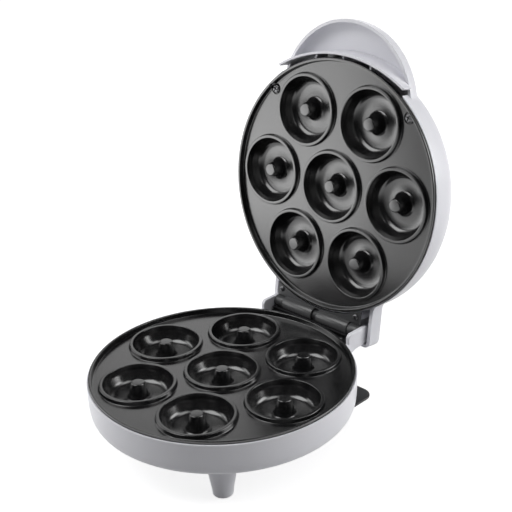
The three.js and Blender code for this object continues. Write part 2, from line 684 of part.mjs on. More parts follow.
function baseHollow() {
  const profile = bowlProfile(INNER_RADIUS, BASE_FLAT - 2, BASE_DEPTH - SHELL_WALL, BASE_SQUARENESS, 5)
    .map(([radius, depth]) => [radius, -depth]);
  const last = profile.length - 1;
  profile[last] = [profile[last][0], FLOOR_TOP];
  return spin([
    [0, 1],
    [SEAT_RADIUS, 1],
    [SEAT_RADIUS, -SEAT_DEPTH],
    [INNER_RADIUS, -SEAT_DEPTH],
    ...profile.slice(1),
    [0, FLOOR_TOP],
  ], ROUND_SIDES);
}

function baseBody() {
  const profile = bowlProfile(SHELL_RADIUS, BASE_FLAT, BASE_DEPTH, BASE_SQUARENESS, 7)
    .map(([radius, depth]) => [radius, -Math.max(depth, PLATE_PROUD)]);
  return spin([[0, -PLATE_PROUD], ...profile, [0, -BASE_DEPTH]], ROUND_SIDES);
}

// One hinge ear: a flat lug that rises behind the body and rounds down under the pin.
function earOutline() {
  const front = Math.sqrt(SHELL_RADIUS ** 2 - EAR_INNER ** 2) + 0.4;
  const rear = HINGE_Y + EAR_REAR;
  const shape = new THREE.Shape();
  shape.moveTo(front - EAR_ROOT, EAR_BOTTOM - EAR_ROOT_DROP);
  shape.lineTo(HINGE_Y - EAR_ROOT, EAR_BOTTOM);
  shape.lineTo(rear - EAR_CHAMFER[0], EAR_BOTTOM);
  shape.lineTo(rear, EAR_BOTTOM + EAR_CHAMFER[1]);
  shape.lineTo(rear, EAR_TOP - EAR_REAR_CORNER);
  shape.absarc(rear - EAR_REAR_CORNER, EAR_TOP - EAR_REAR_CORNER, EAR_REAR_CORNER, 0, Math.PI / 2);
  shape.lineTo(front + EAR_FRONT_CORNER, EAR_TOP);
  shape.absarc(front + EAR_FRONT_CORNER, EAR_TOP - EAR_FRONT_CORNER, EAR_FRONT_CORNER, Math.PI / 2, Math.PI);
  shape.lineTo(front, -PLATE_PROUD - EPS);
  shape.lineTo(front - EAR_ROOT, -PLATE_PROUD - EPS);
  return shape;
}

function hingeShelf() {
  const shape = new THREE.Shape();
  shape.moveTo(ROOT_Y, SHELF_TOP - SHELF_THICKNESS);
  shape.lineTo(HINGE_Y, SHELF_TOP - SHELF_THICKNESS);
  shape.lineTo(HINGE_Y, SHELF_TOP);
  shape.lineTo(ROOT_Y, SHELF_TOP);
  return drawnAlongX(shape, -EAR_INNER - 1, EAR_INNER + 1);
}

function baseShell() {
  const ear = drawnAlongX(earOutline(), EAR_INNER, EAR_OUTER, 4);
  const solid = join([baseBody(), ear, mirrorX(ear), hingeShelf()]);
  const posts = betweenMoulds(PLATE_SCREW_RING, PLATE_SCREW_COUNT)
    .map(([x, y]) => disc(PLATE_BOSS_RADIUS, FLOOR_TOP - 1, PLATE_BOSS_TOP, 10, x, y));
  const hollow = solid.subtract(baseHollow());
  const pegHoles = footPlaces()
    .map(([x, y]) => disc(PEG_RADIUS + CLEARANCE, -BASE_DEPTH - 1, FLOOR_TOP + 1, 10, x, y));
  const glandStart = INNER_RADIUS - GLAND_INSIDE;
  const gland = rodAlongY(GLAND_NECK + CLEARANCE, glandStart, SHELL_RADIUS + 1, 14, 0, GLAND_Z);
  const pinHole = rod(PIN_BORE, -EAR_OUTER - 1, EAR_OUTER - PIN_END_WALL, 14);
  return cut(join([hollow, ...posts]), [
    ...pegHoles,
    gland,
    pinHole,
    ...plateScrews(CLEARANCE),
    ...wrapScrews(CLEARANCE),
    ...cradleScrews(CLEARANCE),
  ]);
}

function rodAlongY(radius, start, end, segments, x, z) {
  const geometry = new THREE.CylinderGeometry(radius, radius, end - start, segments);
  return toSolid(geometry.translate(x, (start + end) / 2, z));
}

function foot() {
  return spin([
    [0, FOOT_TOP + CLEARANCE + PEG_HEIGHT],
    [PEG_RADIUS, FOOT_TOP + CLEARANCE + PEG_HEIGHT],
    [PEG_RADIUS, FOOT_TOP],
    [FOOT_TOP_RADIUS, FOOT_TOP],
    [FOOT_BOTTOM_RADIUS + FOOT_TAPER_END[0], FOOT_BOTTOM + FOOT_ROUNDING + FOOT_TAPER_END[1]],
    [FOOT_BOTTOM_RADIUS, FOOT_BOTTOM + FOOT_ROUNDING],
    [FOOT_BOTTOM_RADIUS - FOOT_ROUNDING * 0.35, FOOT_BOTTOM + FOOT_ROUNDING * 0.35],
    [FOOT_BOTTOM_RADIUS - FOOT_ROUNDING, FOOT_BOTTOM],
    [PAD_RADIUS + CLEARANCE, FOOT_BOTTOM],
    [PAD_RADIUS + CLEARANCE, FOOT_BOTTOM + PAD_THICKNESS - PAD_PROUD + CLEARANCE],
    [0, FOOT_BOTTOM + PAD_THICKNESS - PAD_PROUD + CLEARANCE],
  ], 14);
}

function footPad() {
  const bottom = FOOT_BOTTOM - PAD_PROUD;
  return disc(PAD_RADIUS, bottom, bottom + PAD_THICKNESS, 12);
}

function cordWrap() {
  const outline = roundedRectangle(-WRAP_HALF_WIDTH, WRAP_HALF_WIDTH, WRAP_FRONT, WRAP_REAR, WRAP_CORNER);
  const top = -BASE_DEPTH - CLEARANCE;
  const plate = drawnUp(outline, top - WRAP_THICKNESS, top, 5);
  const feet = footPlaces()
    .map(([x, y]) => disc(FOOT_TOP_RADIUS + CLEARANCE, top - WRAP_THICKNESS - 1, top + 1, 20, x, y));
  return cut(plate, [...feet, ...wrapScrews(CLEARANCE)]);
}

function cordGland() {
  const start = INNER_RADIUS - GLAND_INSIDE;
  const outside = SHELL_RADIUS + CLEARANCE;
  const profile = [
    [GLAND_BORE, start],
    [GLAND_NECK, start],
    [GLAND_NECK, outside],
    [GLAND_FLANGE, outside],
    [GLAND_FLANGE, outside + GLAND_COLLAR[0]],
    [GLAND_NECK, outside + GLAND_COLLAR[0] + GLAND_COLLAR[1]],
    [GLAND_NECK - GLAND_TAPER, start + GLAND_LENGTH],
    [GLAND_BORE, start + GLAND_LENGTH],
  ];
  return ring(profile, 12).rotate([-90, 0, 0]).translate([0, 0, GLAND_Z]);
}

// ---------------------------------------------------------------- hinge
function hingeCradle() {
  const reach = KNUCKLE_RADIUS + CLEARANCE + CRADLE_WALL;
  const start = -EAR_INNER + CLEARANCE;
  const low = SHELF_TOP + CLEARANCE;
  const trough = rod(reach, start, -start, 20);
  const base = block([start, HINGE_Y - CRADLE_FRONT, low], [-start, HINGE_Y, low + CRADLE_FLANGE]);
  const lug = join([
    rod(BUSH_RADIUS, -SPACER_WIDTH / 2, SPACER_WIDTH / 2, 16),
    block(
      [-SPACER_WIDTH / 2, HINGE_Y - BUSH_RADIUS * 0.8, low + 1],
      [SPACER_WIDTH / 2, HINGE_Y + BUSH_RADIUS * 0.8, HINGE_Z],
    ),
  ]);
  const aboveTrough = block(
    [start - 1, HINGE_Y - 2 * reach, HINGE_Z - CRADLE_LIP],
    [1 - start, HINGE_Y + 2 * reach, HINGE_Z + 2 * reach],
  );
  const belowShelf = block(
    [start - 1, HINGE_Y - 2 * reach, low - reach],
    [1 - start, HINGE_Y + 2 * reach, low],
  );
  const bed = rod(KNUCKLE_RADIUS + CLEARANCE, start - 1, 1 - start, 20);
  const body = disc(SHELL_RADIUS + CLEARANCE, low - 1, HINGE_Z + 5, ROUND_SIDES);
  const saddle = cut(trough.add(base), [aboveTrough, belowShelf, bed]);
  return cut(saddle.add(lug), [body, rod(PIN_BORE, start - 1, 1 - start, 14), ...cradleScrews(CLEARANCE)]);
}

function hingePin() {
  return rod(PIN_RADIUS, PIN_RECESS - EAR_OUTER, EAR_OUTER - PIN_END_WALL - CLEARANCE, 14);
}

function hingeBush() {
  const start = KNUCKLE_END + CLEARANCE;
  const end = EAR_INNER - CLEARANCE;
  return rod(BUSH_RADIUS, start, end, 16).subtract(rod(PIN_BORE, start - 1, end + 1, 14));
}

// The lid's grey cover below the hood, with the two knuckles that turn on the pin.
function hingeCover() {
  const low = COVER_LOW;
  const high = low + COVER_THICKNESS;
  const halfWidth = EAR_INNER - CLEARANCE;
  const rear = HINGE_Y - BUSH_RADIUS - CLEARANCE;
  const panel = block([-halfWidth, ROOT_Y, low], [halfWidth, rear, high]);
  const web = block([KNUCKLE_START, rear - 1, low], [KNUCKLE_END, HINGE_Y - KNUCKLE_RADIUS * 0.6, high]);
  const knuckle = rod(KNUCKLE_RADIUS, KNUCKLE_START, KNUCKLE_END, 20);
  const half = web.add(knuckle);
  const dome = disc(SHELL_RADIUS + CLEARANCE, low - 1, high + 1, ROUND_SIDES);
  return cut(join([panel.subtract(dome), half, mirrorX(half)]), [
    rod(PIN_BORE, -halfWidth - 1, halfWidth + 1, 14),
    ...coverScrews(CLEARANCE),
  ]);
}

function coverScrews(grow) {
  const length = COVER_THICKNESS + COVER_SCREW_BITE;
  const screw = panScrew(SCREW_SHANK, SCREW_HEAD, SCREW_HEAD_HEIGHT, length, grow);
  return [-COVER_SCREW_X, COVER_SCREW_X].map((x) => screw.translate([x, COVER_SCREW_Y, COVER_LOW]));
}

// ---------------------------------------------------------------- lid
function domeBody() {
  const profile = bowlProfile(SHELL_RADIUS - CLEARANCE, DOME_FLAT, DOME_HEIGHT, DOME_SQUARENESS, 8)
    .map(([radius, depth]) => [radius, PARTING_GAP + Math.max(depth, PLATE_PROUD)]);
  return spin([[0, PARTING_GAP + PLATE_PROUD], ...profile, [0, DOME_TOP]], ROUND_SIDES);
}

function domeHollow() {
  const seat = PARTING_GAP + SEAT_DEPTH;
  const height = DOME_HEIGHT - SHELL_WALL;
  const profile = bowlProfile(INNER_RADIUS - CLEARANCE, DOME_FLAT - 1, height, DOME_SQUARENESS, 6)
    .map(([radius, depth]) => [radius, PARTING_GAP + depth]);
  return spin([
    [0, PARTING_GAP - 1],
    [SEAT_RADIUS, PARTING_GAP - 1],
    [SEAT_RADIUS, seat],
    [INNER_RADIUS - CLEARANCE, seat],
    ...profile.slice(1),
    [0, DOME_CEILING],
  ], ROUND_SIDES);
}

function handleProfile(inset, steps) {
  const height = HANDLE_HEIGHT - inset;
  return bowlProfile(HANDLE_RADIUS - inset, HANDLE_FLAT, height, HANDLE_SQUARENESS, steps)
    .map(([radius, depth]) => [radius, HANDLE_BOTTOM + depth]);
}

// The handle is a shallow cap, open below, that grows out of the front of the dome.
function handleCap() {
  return spin([[0, HANDLE_BOTTOM], ...handleProfile(0, 5), [0, HANDLE_BOTTOM + HANDLE_HEIGHT]], 40)
    .translate([0, HANDLE_CENTRE_Y, 0]);
}

function handleScoop(shrink = 0) {
  const profile = handleProfile(HANDLE_WALL, 4).map(([radius, height]) => [radius - shrink, height - shrink]);
  const rim = HANDLE_RADIUS - HANDLE_WALL - shrink;
  return spin([
    [0, PARTING_GAP - 1],
    [rim, PARTING_GAP - 1],
    ...profile,
    [0, HANDLE_BOTTOM + HANDLE_HEIGHT - HANDLE_WALL - shrink],
  ], 40).translate([0, HANDLE_CENTRE_Y, 0]);
}

function hoodOutline(inset) {
  const rear = HOOD_REAR - (inset ? HOOD_REAR_WALL : 0);
  const top = HOOD_TOP - (inset ? HOOD_ROOF : 0);
  const corner = HOOD_CORNER - (inset ? HOOD_ROOF : 0);
  const bottom = HOOD_BOTTOM - (inset ? 1 : 0);
  const shape = new THREE.Shape();
  shape.moveTo(HINGE_Y - HOOD_ROOT, bottom);
  shape.lineTo(rear, bottom);
  shape.lineTo(rear, top - corner);
  shape.absarc(rear - corner, top - corner, corner, 0, Math.PI / 2);
  shape.lineTo(HINGE_Y - HOOD_ROOT, top);
  return shape;
}

function hood() {
  const outside = drawnAlongX(hoodOutline(false), -HOOD_HALF_WIDTH, HOOD_HALF_WIDTH, 4);
  const inner = HOOD_HALF_WIDTH - HOOD_WALL;
  const inside = drawnAlongX(hoodOutline(true), -inner, inner, 4).subtract(domeBody());
  const bosses = [-COVER_SCREW_X, COVER_SCREW_X].map((x) => disc(
    COVER_BOSS_RADIUS, COVER_LOW + COVER_THICKNESS + CLEARANCE, HOOD_TOP - 1, 12, x, COVER_SCREW_Y,
  ));
  return join([outside.subtract(inside), ...bosses]);
}

function lidShell() {
  const solid = join([domeBody(), hood(), handleCap()]);
  const ceiling = DOME_CEILING + 1;
  const plateBosses = [-LID_SCREW_XY, LID_SCREW_XY].map((x) => disc(
    LID_BOSS_RADIUS, PARTING_GAP - LAND_UNDERSIDE + CLEARANCE, ceiling, 12, x, -LID_SCREW_XY,
  ));
  const trayTop = PARTING_GAP - REFLECTOR_BOTTOM + CLEARANCE;
  const trayPosts = betweenMoulds(REFLECTOR_POST_RING, 3)
    .map(([x, y]) => disc(REFLECTOR_POST_RADIUS, trayTop, ceiling, 8, x, y));
  const boardTop = lampBoardTop();
  const boardPost = disc(REFLECTOR_POST_RADIUS / 2, boardTop + CLEARANCE, ceiling, 8, 0, LAMP_Y);
  const shell = cut(solid, [domeHollow(), handleScoop()]);
  const bosses = join(plateBosses).intersect(domeBody());
  return cut(join([shell, bosses, ...trayPosts, boardPost]), [
    ...lidScrews(CLEARANCE),
    ...coverScrews(CLEARANCE),
    ...lampLenses(CLEARANCE),
  ]);
}

// The curved wall that closes the handle scoop off from the plate, stiffened by ribs behind it.
function handleLip() {
  const centreY = LIP_RADIUS - LIP_FRONT;
  const roof = HANDLE_BOTTOM + HANDLE_HEIGHT;
  const wall = ring([
    [LIP_RADIUS - LIP_WALL, 0],
    [LIP_RADIUS, 0],
    [LIP_RADIUS, roof],
    [LIP_RADIUS - LIP_WALL, roof],
  ], 96).translate([0, centreY, 0]);
  const front = block([-LIP_HALF_WIDTH, -LIP_FRONT - 1, -1], [LIP_HALF_WIDTH, HANDLE_CENTRE_Y, roof + 1]);
  const ribs = [-1, 0, 1].map((place) => block(
    [place * LIP_RIB_PITCH - LIP_RIB_WIDTH / 2, -LIP_FRONT, RIB_BOTTOM],
    [place * LIP_RIB_PITCH + LIP_RIB_WIDTH / 2, HANDLE_CENTRE_Y, RIB_BOTTOM + LIP_RIB_HEIGHT],
  ));
  const behind = disc(INNER_RADIUS, 0, roof, ROUND_SIDES);
  const within = disc(LIP_RADIUS - LIP_WALL / 2, 0, roof, 96, 0, centreY);
  const allRibs = join(ribs).subtract(behind).intersect(within);
  const below = block(
    [-HANDLE_RADIUS, -LIP_FRONT - 1, -1],
    [HANDLE_RADIUS, HANDLE_CENTRE_Y, HANDLE_BOTTOM - CLEARANCE],
  );
  const free = handleScoop(CLEARANCE).add(below);
  return wall.intersect(front).add(allRibs).intersect(free);
}

function lidPlate() {
  const pockets = [-LID_SCREW_XY, LID_SCREW_XY]
    .map((x) => disc(LID_SCREW_POCKET, -LAND_DROP - 1, 1, 14, x, -LID_SCREW_XY));
  const holes = [-LID_SCREW_XY, LID_SCREW_XY]
    .map((x) => disc(LID_SCREW_SHANK + CLEARANCE, LAND_UNDERSIDE - 1, 1, 10, x, -LID_SCREW_XY));
  return facingDown(cut(mouldPlate(), [...pockets, ...holes]));
}

// Turns a piece built cooking side up into its place in the lid.
function facingDown(solid) {
  return solid.mirror([0, 0, 1]).translate([0, 0, PARTING_GAP]);
}

function lidScrews(grow) {
  const screw = panScrew(LID_SCREW_SHANK, LID_SCREW_HEAD, LID_SCREW_HEAD_HEIGHT, LID_SCREW_LENGTH, grow);
  const seat = PARTING_GAP + LAND_DROP + 1 - CLEARANCE / 2;
  return [-LID_SCREW_XY, LID_SCREW_XY].map((x) => screw.translate([x, -LID_SCREW_XY, seat - CLEARANCE / 2]));
}

function lampBoardTop() {
  return DOME_TOP - LAMP_SINK - CLEARANCE;
}

function lampLenses(grow) {
  const lens = spin([
    [0, DOME_TOP - LAMP_SINK - grow],
    [LAMP_RADIUS + 1 + grow, DOME_TOP - LAMP_SINK - grow],
    [LAMP_RADIUS + 1 + grow, DOME_CEILING - CLEARANCE + grow],
    [LAMP_RADIUS + grow, DOME_CEILING - CLEARANCE + grow],
    [LAMP_RADIUS + grow, DOME_TOP + LAMP_PROUD * 0.5],
    [LAMP_RADIUS * 0.6, DOME_TOP + LAMP_PROUD + grow],
    [0, DOME_TOP + LAMP_PROUD + grow],
  ], 16);
  return [-LAMP_X, LAMP_X].map((x) => lens.translate([x, LAMP_Y, 0]));
}

function lampBoard() {
  const top = lampBoardTop();
  const [halfX, halfY, thick] = LAMP_BOARD;
  return block([-halfX, LAMP_Y - halfY, top - thick], [halfX, LAMP_Y + halfY, top]);
}

// ---------------------------------------------------------------- assembly
function piece(name, solid, look) {
  const mesh = new THREE.Mesh(toGeometry(solid), new THREE.MeshStandardMaterial(look));
  mesh.name = name;
  return mesh;
}

function numbered(name, solids, look) {
  return solids.map((solid, i) => piece(`${name}_${i + 1}`, solid, look));
}

function baseGroup() {
  const group = new THREE.Group();
  const feet = footPlaces().map(([x, y]) => foot().translate([x, y, 0]));
  const pads = footPlaces().map(([x, y]) => footPad().translate([x, y, 0]));
  const clips = betweenMoulds(ELEMENT_RING, CLIP_COUNT).map((place) => elementClip(...place));
  group.add(
    piece('base_shell', baseShell(), WHITE_PLASTIC),
    piece('base_plate', basePlate(), NON_STICK),
    piece('base_element', heatingElement(), DARK_STEEL),
    ...numbered('base_element_clip', clips, STEEL),
    piece('base_reflector', baseReflector(), ALUMINIUM),
    piece('thermostat', thermostat(), CERAMIC),
    piece('thermal_fuse', thermalFuse(), ALUMINIUM),
    piece('supply_lead', supplyLead(), SILICONE),
    piece('fuse_lead', fuseLead(), SILICONE),
    piece('element_lead', elementLead(), SILICONE),
    piece('terminal_block', terminalBlock(), CERAMIC),
    piece('cord_gland', cordGland(), BLACK_PLASTIC),
    ...numbered('foot', feet, WHITE_PLASTIC),
    ...numbered('foot_pad', pads, RUBBER),
    ...numbered('base_plate_screw', plateScrews(0), STEEL),
    piece('cord_wrap_plate', cordWrap(), BLACK_PLASTIC),
    ...numbered('cord_wrap_screw', wrapScrews(0), STEEL),
    piece('hinge_cradle', hingeCradle(), BLACK_PLASTIC),
    ...numbered('hinge_cradle_screw', cradleScrews(0), STEEL),
    piece('hinge_pin', hingePin(), STEEL),
    piece('hinge_bush_right', hingeBush(), GREY_PLASTIC),
    piece('hinge_bush_left', mirrorX(hingeBush()), GREY_PLASTIC),
  );
  return group;
}

function lidGroup() {
  const group = new THREE.Group();
  const clips = betweenMoulds(ELEMENT_RING, CLIP_COUNT).map((place) => facingDown(elementClip(...place)));
  group.add(
    piece('lid_shell', lidShell(), WHITE_PLASTIC),
    piece('handle_lip', handleLip(), WHITE_PLASTIC),
    piece('lid_plate', lidPlate(), NON_STICK),
    piece('lid_element', facingDown(heatingElement()), DARK_STEEL),
    ...numbered('lid_element_clip', clips, STEEL),
    piece('lid_reflector', facingDown(lidReflector()), ALUMINIUM),
    ...numbered('lid_plate_screw', lidScrews(0), STEEL),
    piece('hinge_cover', hingeCover(), GREY_PLASTIC),
    ...numbered('hinge_cover_screw', coverScrews(0), STEEL),
    piece('power_lens', lampLenses(0)[0], RED_LENS),
    piece('ready_lens', lampLenses(0)[1], GREEN_LENS),
    piece('lamp_board', lampBoard(), BLACK_PLASTIC),
  );
  return group;
}

// The lid pieces hang from a pivot on the hinge axis, which is turned to the open position.
function openLid() {
  const pivot = new THREE.Group();
  const lid = lidGroup();
  lid.position.set(0, -HINGE_Y, -HINGE_Z);
  pivot.position.set(0, HINGE_Y, HINGE_Z);
  pivot.rotation.x = -THREE.MathUtils.degToRad(LID_OPEN_DEG);
  pivot.add(lid);
  return pivot;
}

function donutMaker() {
  const part = new THREE.Group();
  part.add(baseGroup(), openLid());
  part.updateMatrixWorld(true);
  const box = new THREE.Box3().setFromObject(part, true);
  part.position.set(0, -(box.min.y + box.max.y) / 2, -box.min.z);
  return part;
}

export default donutMaker();
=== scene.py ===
"""Visual model of the seven-mould donut maker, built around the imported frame.

Shapes are written in millimetres in the closed position: the base plate's rim top is height zero, the
moulds' centre is the origin, -Y is the front. LID pieces are then turned about the hinge to the open pose.
"""
import json
import math

import bmesh
import bpy
import numpy as np
from mathutils import Matrix, Vector


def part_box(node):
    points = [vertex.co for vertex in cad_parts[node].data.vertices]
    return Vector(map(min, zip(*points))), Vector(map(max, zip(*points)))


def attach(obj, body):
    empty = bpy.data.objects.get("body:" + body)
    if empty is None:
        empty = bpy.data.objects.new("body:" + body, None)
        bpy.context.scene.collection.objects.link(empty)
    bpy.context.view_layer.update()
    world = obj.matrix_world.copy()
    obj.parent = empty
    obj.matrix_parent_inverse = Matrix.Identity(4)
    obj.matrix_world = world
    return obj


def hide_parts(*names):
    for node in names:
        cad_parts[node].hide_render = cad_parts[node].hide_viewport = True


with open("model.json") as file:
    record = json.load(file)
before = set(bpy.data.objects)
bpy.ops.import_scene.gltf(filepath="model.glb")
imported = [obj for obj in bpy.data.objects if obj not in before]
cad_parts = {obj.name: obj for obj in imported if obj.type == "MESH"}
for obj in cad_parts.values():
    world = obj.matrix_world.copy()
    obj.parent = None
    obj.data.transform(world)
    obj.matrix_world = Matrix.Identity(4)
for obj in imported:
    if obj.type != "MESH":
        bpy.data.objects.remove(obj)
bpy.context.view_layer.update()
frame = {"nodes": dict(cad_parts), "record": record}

# ------------------------------------------------------------------ shared sizes, in millimetres
MM = 0.001                       # the frame is in metres
CLEARANCE = 0.3                  # between pieces that fit together
HINGE_Y, HINGE_Z = 104.6, 1.9
OPEN_DEG = 98.0
PARTING_GAP = 0.5
PROUD = 2.0                      # how far a plate's rim stands out of its shell
MOULD_RING = 62.0
SHELL_R = 98.0
SHELL_WALL = 2.4
SEAT_R = 97.1
BASE_DEPTH = 27.0
DOME_R, DOME_FLAT, DOME_HEIGHT, DOME_POWER = 97.7, 33.0, 35.7, 4.4
DOME_TOP = PARTING_GAP + DOME_HEIGHT
LID_EDGE = PARTING_GAP + PROUD
HANDLE_Y, HANDLE_R, HANDLE_FLAT = -63.0, 62.0, 34.0
HANDLE_BOTTOM, HANDLE_HEIGHT, HANDLE_POWER = 9.3, 13.7, 4.6
HANDLE_TOP = HANDLE_BOTTOM + HANDLE_HEIGHT
HANDLE_WALL = 2.3
HOOD_X, HOOD_REAR, HOOD_BOTTOM, HOOD_TOP = 50.5, 117.6, 6.1, 21.3
HOOD_FRONT, HOOD_CORNER = 40.0, 5.0
HOOD_WALL, HOOD_REAR_WALL, HOOD_ROOF = 3.0, 2.4, 2.3
BEARING_HALF = 42.5              # cradle, cover and the outer ends of the bushes
EAR_IN, EAR_OUT = BEARING_HALF + CLEARANCE, 46.0
PIN_R = 1.65
PIN_BORE_R = PIN_R + CLEARANCE
UNDERSIDE = -BASE_DEPTH - CLEARANCE
WRAP_BOTTOM = UNDERSIDE - 2.0
CRADLE_LOW, CRADLE_TOP = -6.3, -4.5
COVER_LOW, COVER_TOP = 1.3, 3.1
SHELL_CLEAR_R = SHELL_R + CLEARANCE
LAMP_X, LAMP_Y = 10, -48
LENS_R, LENS_FLANGE_R = 3.4, 4.4
SCREW_HOLE_R = 1.6
BASE_SCREW_RING = 82
WRAP_SCREW = (57.0, 60.0)        # this and the next three: x on either side of the middle, and y
CRADLE_SCREW = (31.0, 96.2)
COVER_SCREW = (38.2, 93.8)
LID_SCREW = (64.35, -64.35)
MOULD_SIDES, RIM_SIDES = 96, 256
SMOOTH_DEG = 32                  # flatter edges than this are shaded smooth


def pin_centre():
    low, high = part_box("hinge_pin")
    return [(a + b) / 2 / MM for a, b in zip(low, high)]


PIN = pin_centre()
SHIFT = Vector((0, PIN[1] - HINGE_Y, PIN[2] - HINGE_Z))
HINGE = Vector((0, HINGE_Y, HINGE_Z))
BASE = Matrix.Scale(MM, 4) @ Matrix.Translation(SHIFT)
LID = (Matrix.Scale(MM, 4) @ Matrix.Translation(SHIFT + HINGE)
       @ Matrix.Rotation(-math.radians(OPEN_DEG), 4, "X") @ Matrix.Translation(-HINGE))
PLACE = {"base": BASE, "lid": LID}


# ------------------------------------------------------------------ mesh helpers
def circle(centre, radius, sides):
    turns = [2 * math.pi * i / sides for i in range(sides)]
    return [(centre[0] + radius * math.cos(turn), centre[1] + radius * math.sin(turn)) for turn in turns]


def lathe(profile, sides, centre=(0, 0)):
    """Vertices and faces of a [radius, height] profile turned about Z."""
    verts, faces, rows = [], [], []
    for radius, height in profile:
        if radius < 1e-6:
            rows.append([len(verts)])
            verts.append((centre[0], centre[1], height))
            continue
        rows.append(list(range(len(verts), len(verts) + sides)))
        verts += [(x, y, height) for x, y in circle(centre, radius, sides)]
    for lower, upper in zip(rows, rows[1:]):
        for i in range(sides):
            j = (i + 1) % sides
            around = ((lower, i), (lower, j), (upper, j), (upper, i))
            corners = list(dict.fromkeys(row[k % len(row)] for row, k in around))
            if len(corners) > 2:
                faces.append(corners)
    return verts, faces


def cylinder(radius, low, high, sides=32, centre=(0, 0)):
    return lathe([(0, low), (radius, low), (radius, high), (0, high)], sides, centre)


def screw_holes(place, low, high):
    """A hole for a small screw on each side of the middle."""
    x, y = place
    return [cylinder(SCREW_HOLE_R, low, high, 32, (side * x, y)) for side in (-1, 1)]


def joined(parts):
    """Several (verts, faces) lists as one."""
    verts, faces = [], []
    for more_verts, more_faces in parts:
        offset = len(verts)
        verts.extend(more_verts)
        faces.extend([[i + offset for i in face] for face in more_faces])
    return verts, faces


def rounded(points, steps=4, closed=False):
    """A polyline from (x, y) or (x, y, radius) points, with an arc of that radius at each corner."""
    line = []
    count = len(points)
    for i, point in enumerate(points):
        radius = point[2] if len(point) > 2 else 0
        here = Vector(point[:2])
        if radius <= 0 or (not closed and i in (0, count - 1)):
            line.append(tuple(here))
            continue
        before = Vector(points[i - 1][:2]) - here
        after = Vector(points[(i + 1) % count][:2]) - here
        half = before.angle(after) / 2
        reach = min(radius / math.tan(half), before.length * 0.49, after.length * 0.49)
        radius = reach * math.tan(half)
        start = here + before.normalized() * reach
        end = here + after.normalized() * reach
        centre = here + (before.normalized() + after.normalized()).normalized() * (radius / math.sin(half))
        first = start - centre
        sweep = first.angle_signed(end - centre)
        for step in range(steps + 1):
            turn = -sweep * step / steps
            spun = Vector((first.x * math.cos(turn) - first.y * math.sin(turn),
                           first.x * math.sin(turn) + first.y * math.cos(turn)))
            line.append(tuple(centre + spun))
    return line


def arc(centre, radius, start, end, steps):
    points = []
    for i in range(steps + 1):
        turn = math.radians(start + (end - start) * i / steps)
        points.append((centre[0] + radius * math.cos(turn), centre[1] + radius * math.sin(turn)))
    return points


def prism(outline, low, high, axis="Z"):
    """A closed outline drawn out between two heights. axis X takes (y, z) outlines."""
    count = len(outline)
    if axis == "Z":
        verts = [(x, y, low) for x, y in outline] + [(x, y, high) for x, y in outline]
    else:
        verts = [(low, y, z) for y, z in outline] + [(high, y, z) for y, z in outline]
    faces = [list(range(count - 1, -1, -1)), list(range(count, 2 * count))]
    for i in range(count):
        j = (i + 1) % count
        faces.append([i, j, count + j, count + i])
    return verts, faces


def block(low, high):
    outline = [(low[0], low[1]), (high[0], low[1]), (high[0], high[1]), (low[0], high[1])]
    return prism(outline, low[2], high[2])


def along_x(shape):
    """Turns a lathe about Z into one about the hinge's axis."""
    verts, faces = shape
    return [(h, HINGE_Y + a, HINGE_Z + b) for a, b, h in verts], faces


def along_y(shape, x, z):
    """Turns a lathe about Z into one about an axis along Y."""
    verts, faces = shape
    return [(x + a, h, z + b) for a, b, h in verts], faces


def raw(name, shape):
    """An unplaced object in millimetres, with welded points and outward faces."""
    mesh = bpy.data.meshes.new(name)
    mesh.from_pydata([tuple(v) for v in shape[0]], [], shape[1])
    body = bmesh.new()
    body.from_mesh(mesh)
    bmesh.ops.remove_doubles(body, verts=body.verts, dist=1e-4)
    bmesh.ops.recalc_face_normals(body, faces=body.faces)
    body.to_mesh(mesh)
    body.free()
    obj = bpy.data.objects.new(name, mesh)
    bpy.context.scene.collection.objects.link(obj)
    return obj


def settle(obj):
    """Applies an object's modifiers."""
    graph = bpy.context.evaluated_depsgraph_get()
    mesh = bpy.data.meshes.new_from_object(obj.evaluated_get(graph))
    old = obj.data
    obj.modifiers.clear()
    obj.data = mesh
    bpy.data.meshes.remove(old)
    return obj


def bevel(obj, width, segments=3, angle=35):
    modifier = obj.modifiers.new("bevel", "BEVEL")
    modifier.width = width
    modifier.segments = segments
    modifier.limit_method = "ANGLE"
    modifier.angle_limit = math.radians(angle)
    return settle(obj)


def combine(obj, others, operation):
    """Exact boolean of obj with each other object, which is then removed."""
    for other in others:
        modifier = obj.modifiers.new("boolean", "BOOLEAN")
        modifier.operation = operation
        modifier.solver = "EXACT"
        modifier.object = other
        settle(obj)
        bpy.data.objects.remove(other)
    return obj


def cut(obj, *shapes):
    return combine(obj, [raw("tool", shape) for shape in shapes], "DIFFERENCE")


def add(obj, *shapes):
    return combine(obj, [raw("tool", shape) for shape in shapes], "UNION")


def finish_piece(obj, group, nodes, material):
    """Places a piece, shades it, gives it its material, hangs it on its body and hides the CAD nodes it
    stands for.
    """
    obj.data.transform(PLACE[group])
    body = bmesh.new()
    body.from_mesh(obj.data)
    bmesh.ops.remove_doubles(body, verts=body.verts, dist=2e-6)
    bmesh.ops.dissolve_degenerate(body, dist=1e-6, edges=body.edges)
    for face in body.faces:
        face.smooth = True
    for edge in body.edges:
        edge.smooth = edge.is_manifold and edge.calc_face_angle(0) < math.radians(SMOOTH_DEG)
    body.to_mesh(obj.data)
    body.free()
    obj.data.materials.clear()
    obj.data.materials.append(material)
    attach(obj, group)
    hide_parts(*nodes)


# ------------------------------------------------------------------ materials
GRAIN_DEPTH, PEEL_DEPTH, STREAK_DEPTH = 0.00002, 0.00005, 0.00001    # metres


def new_material(name):
    material = bpy.data.materials.new(name)
    material.use_nodes = True
    nodes = material.node_tree.nodes
    shader = nodes["Principled BSDF"]
    return material, nodes, material.node_tree.links, shader


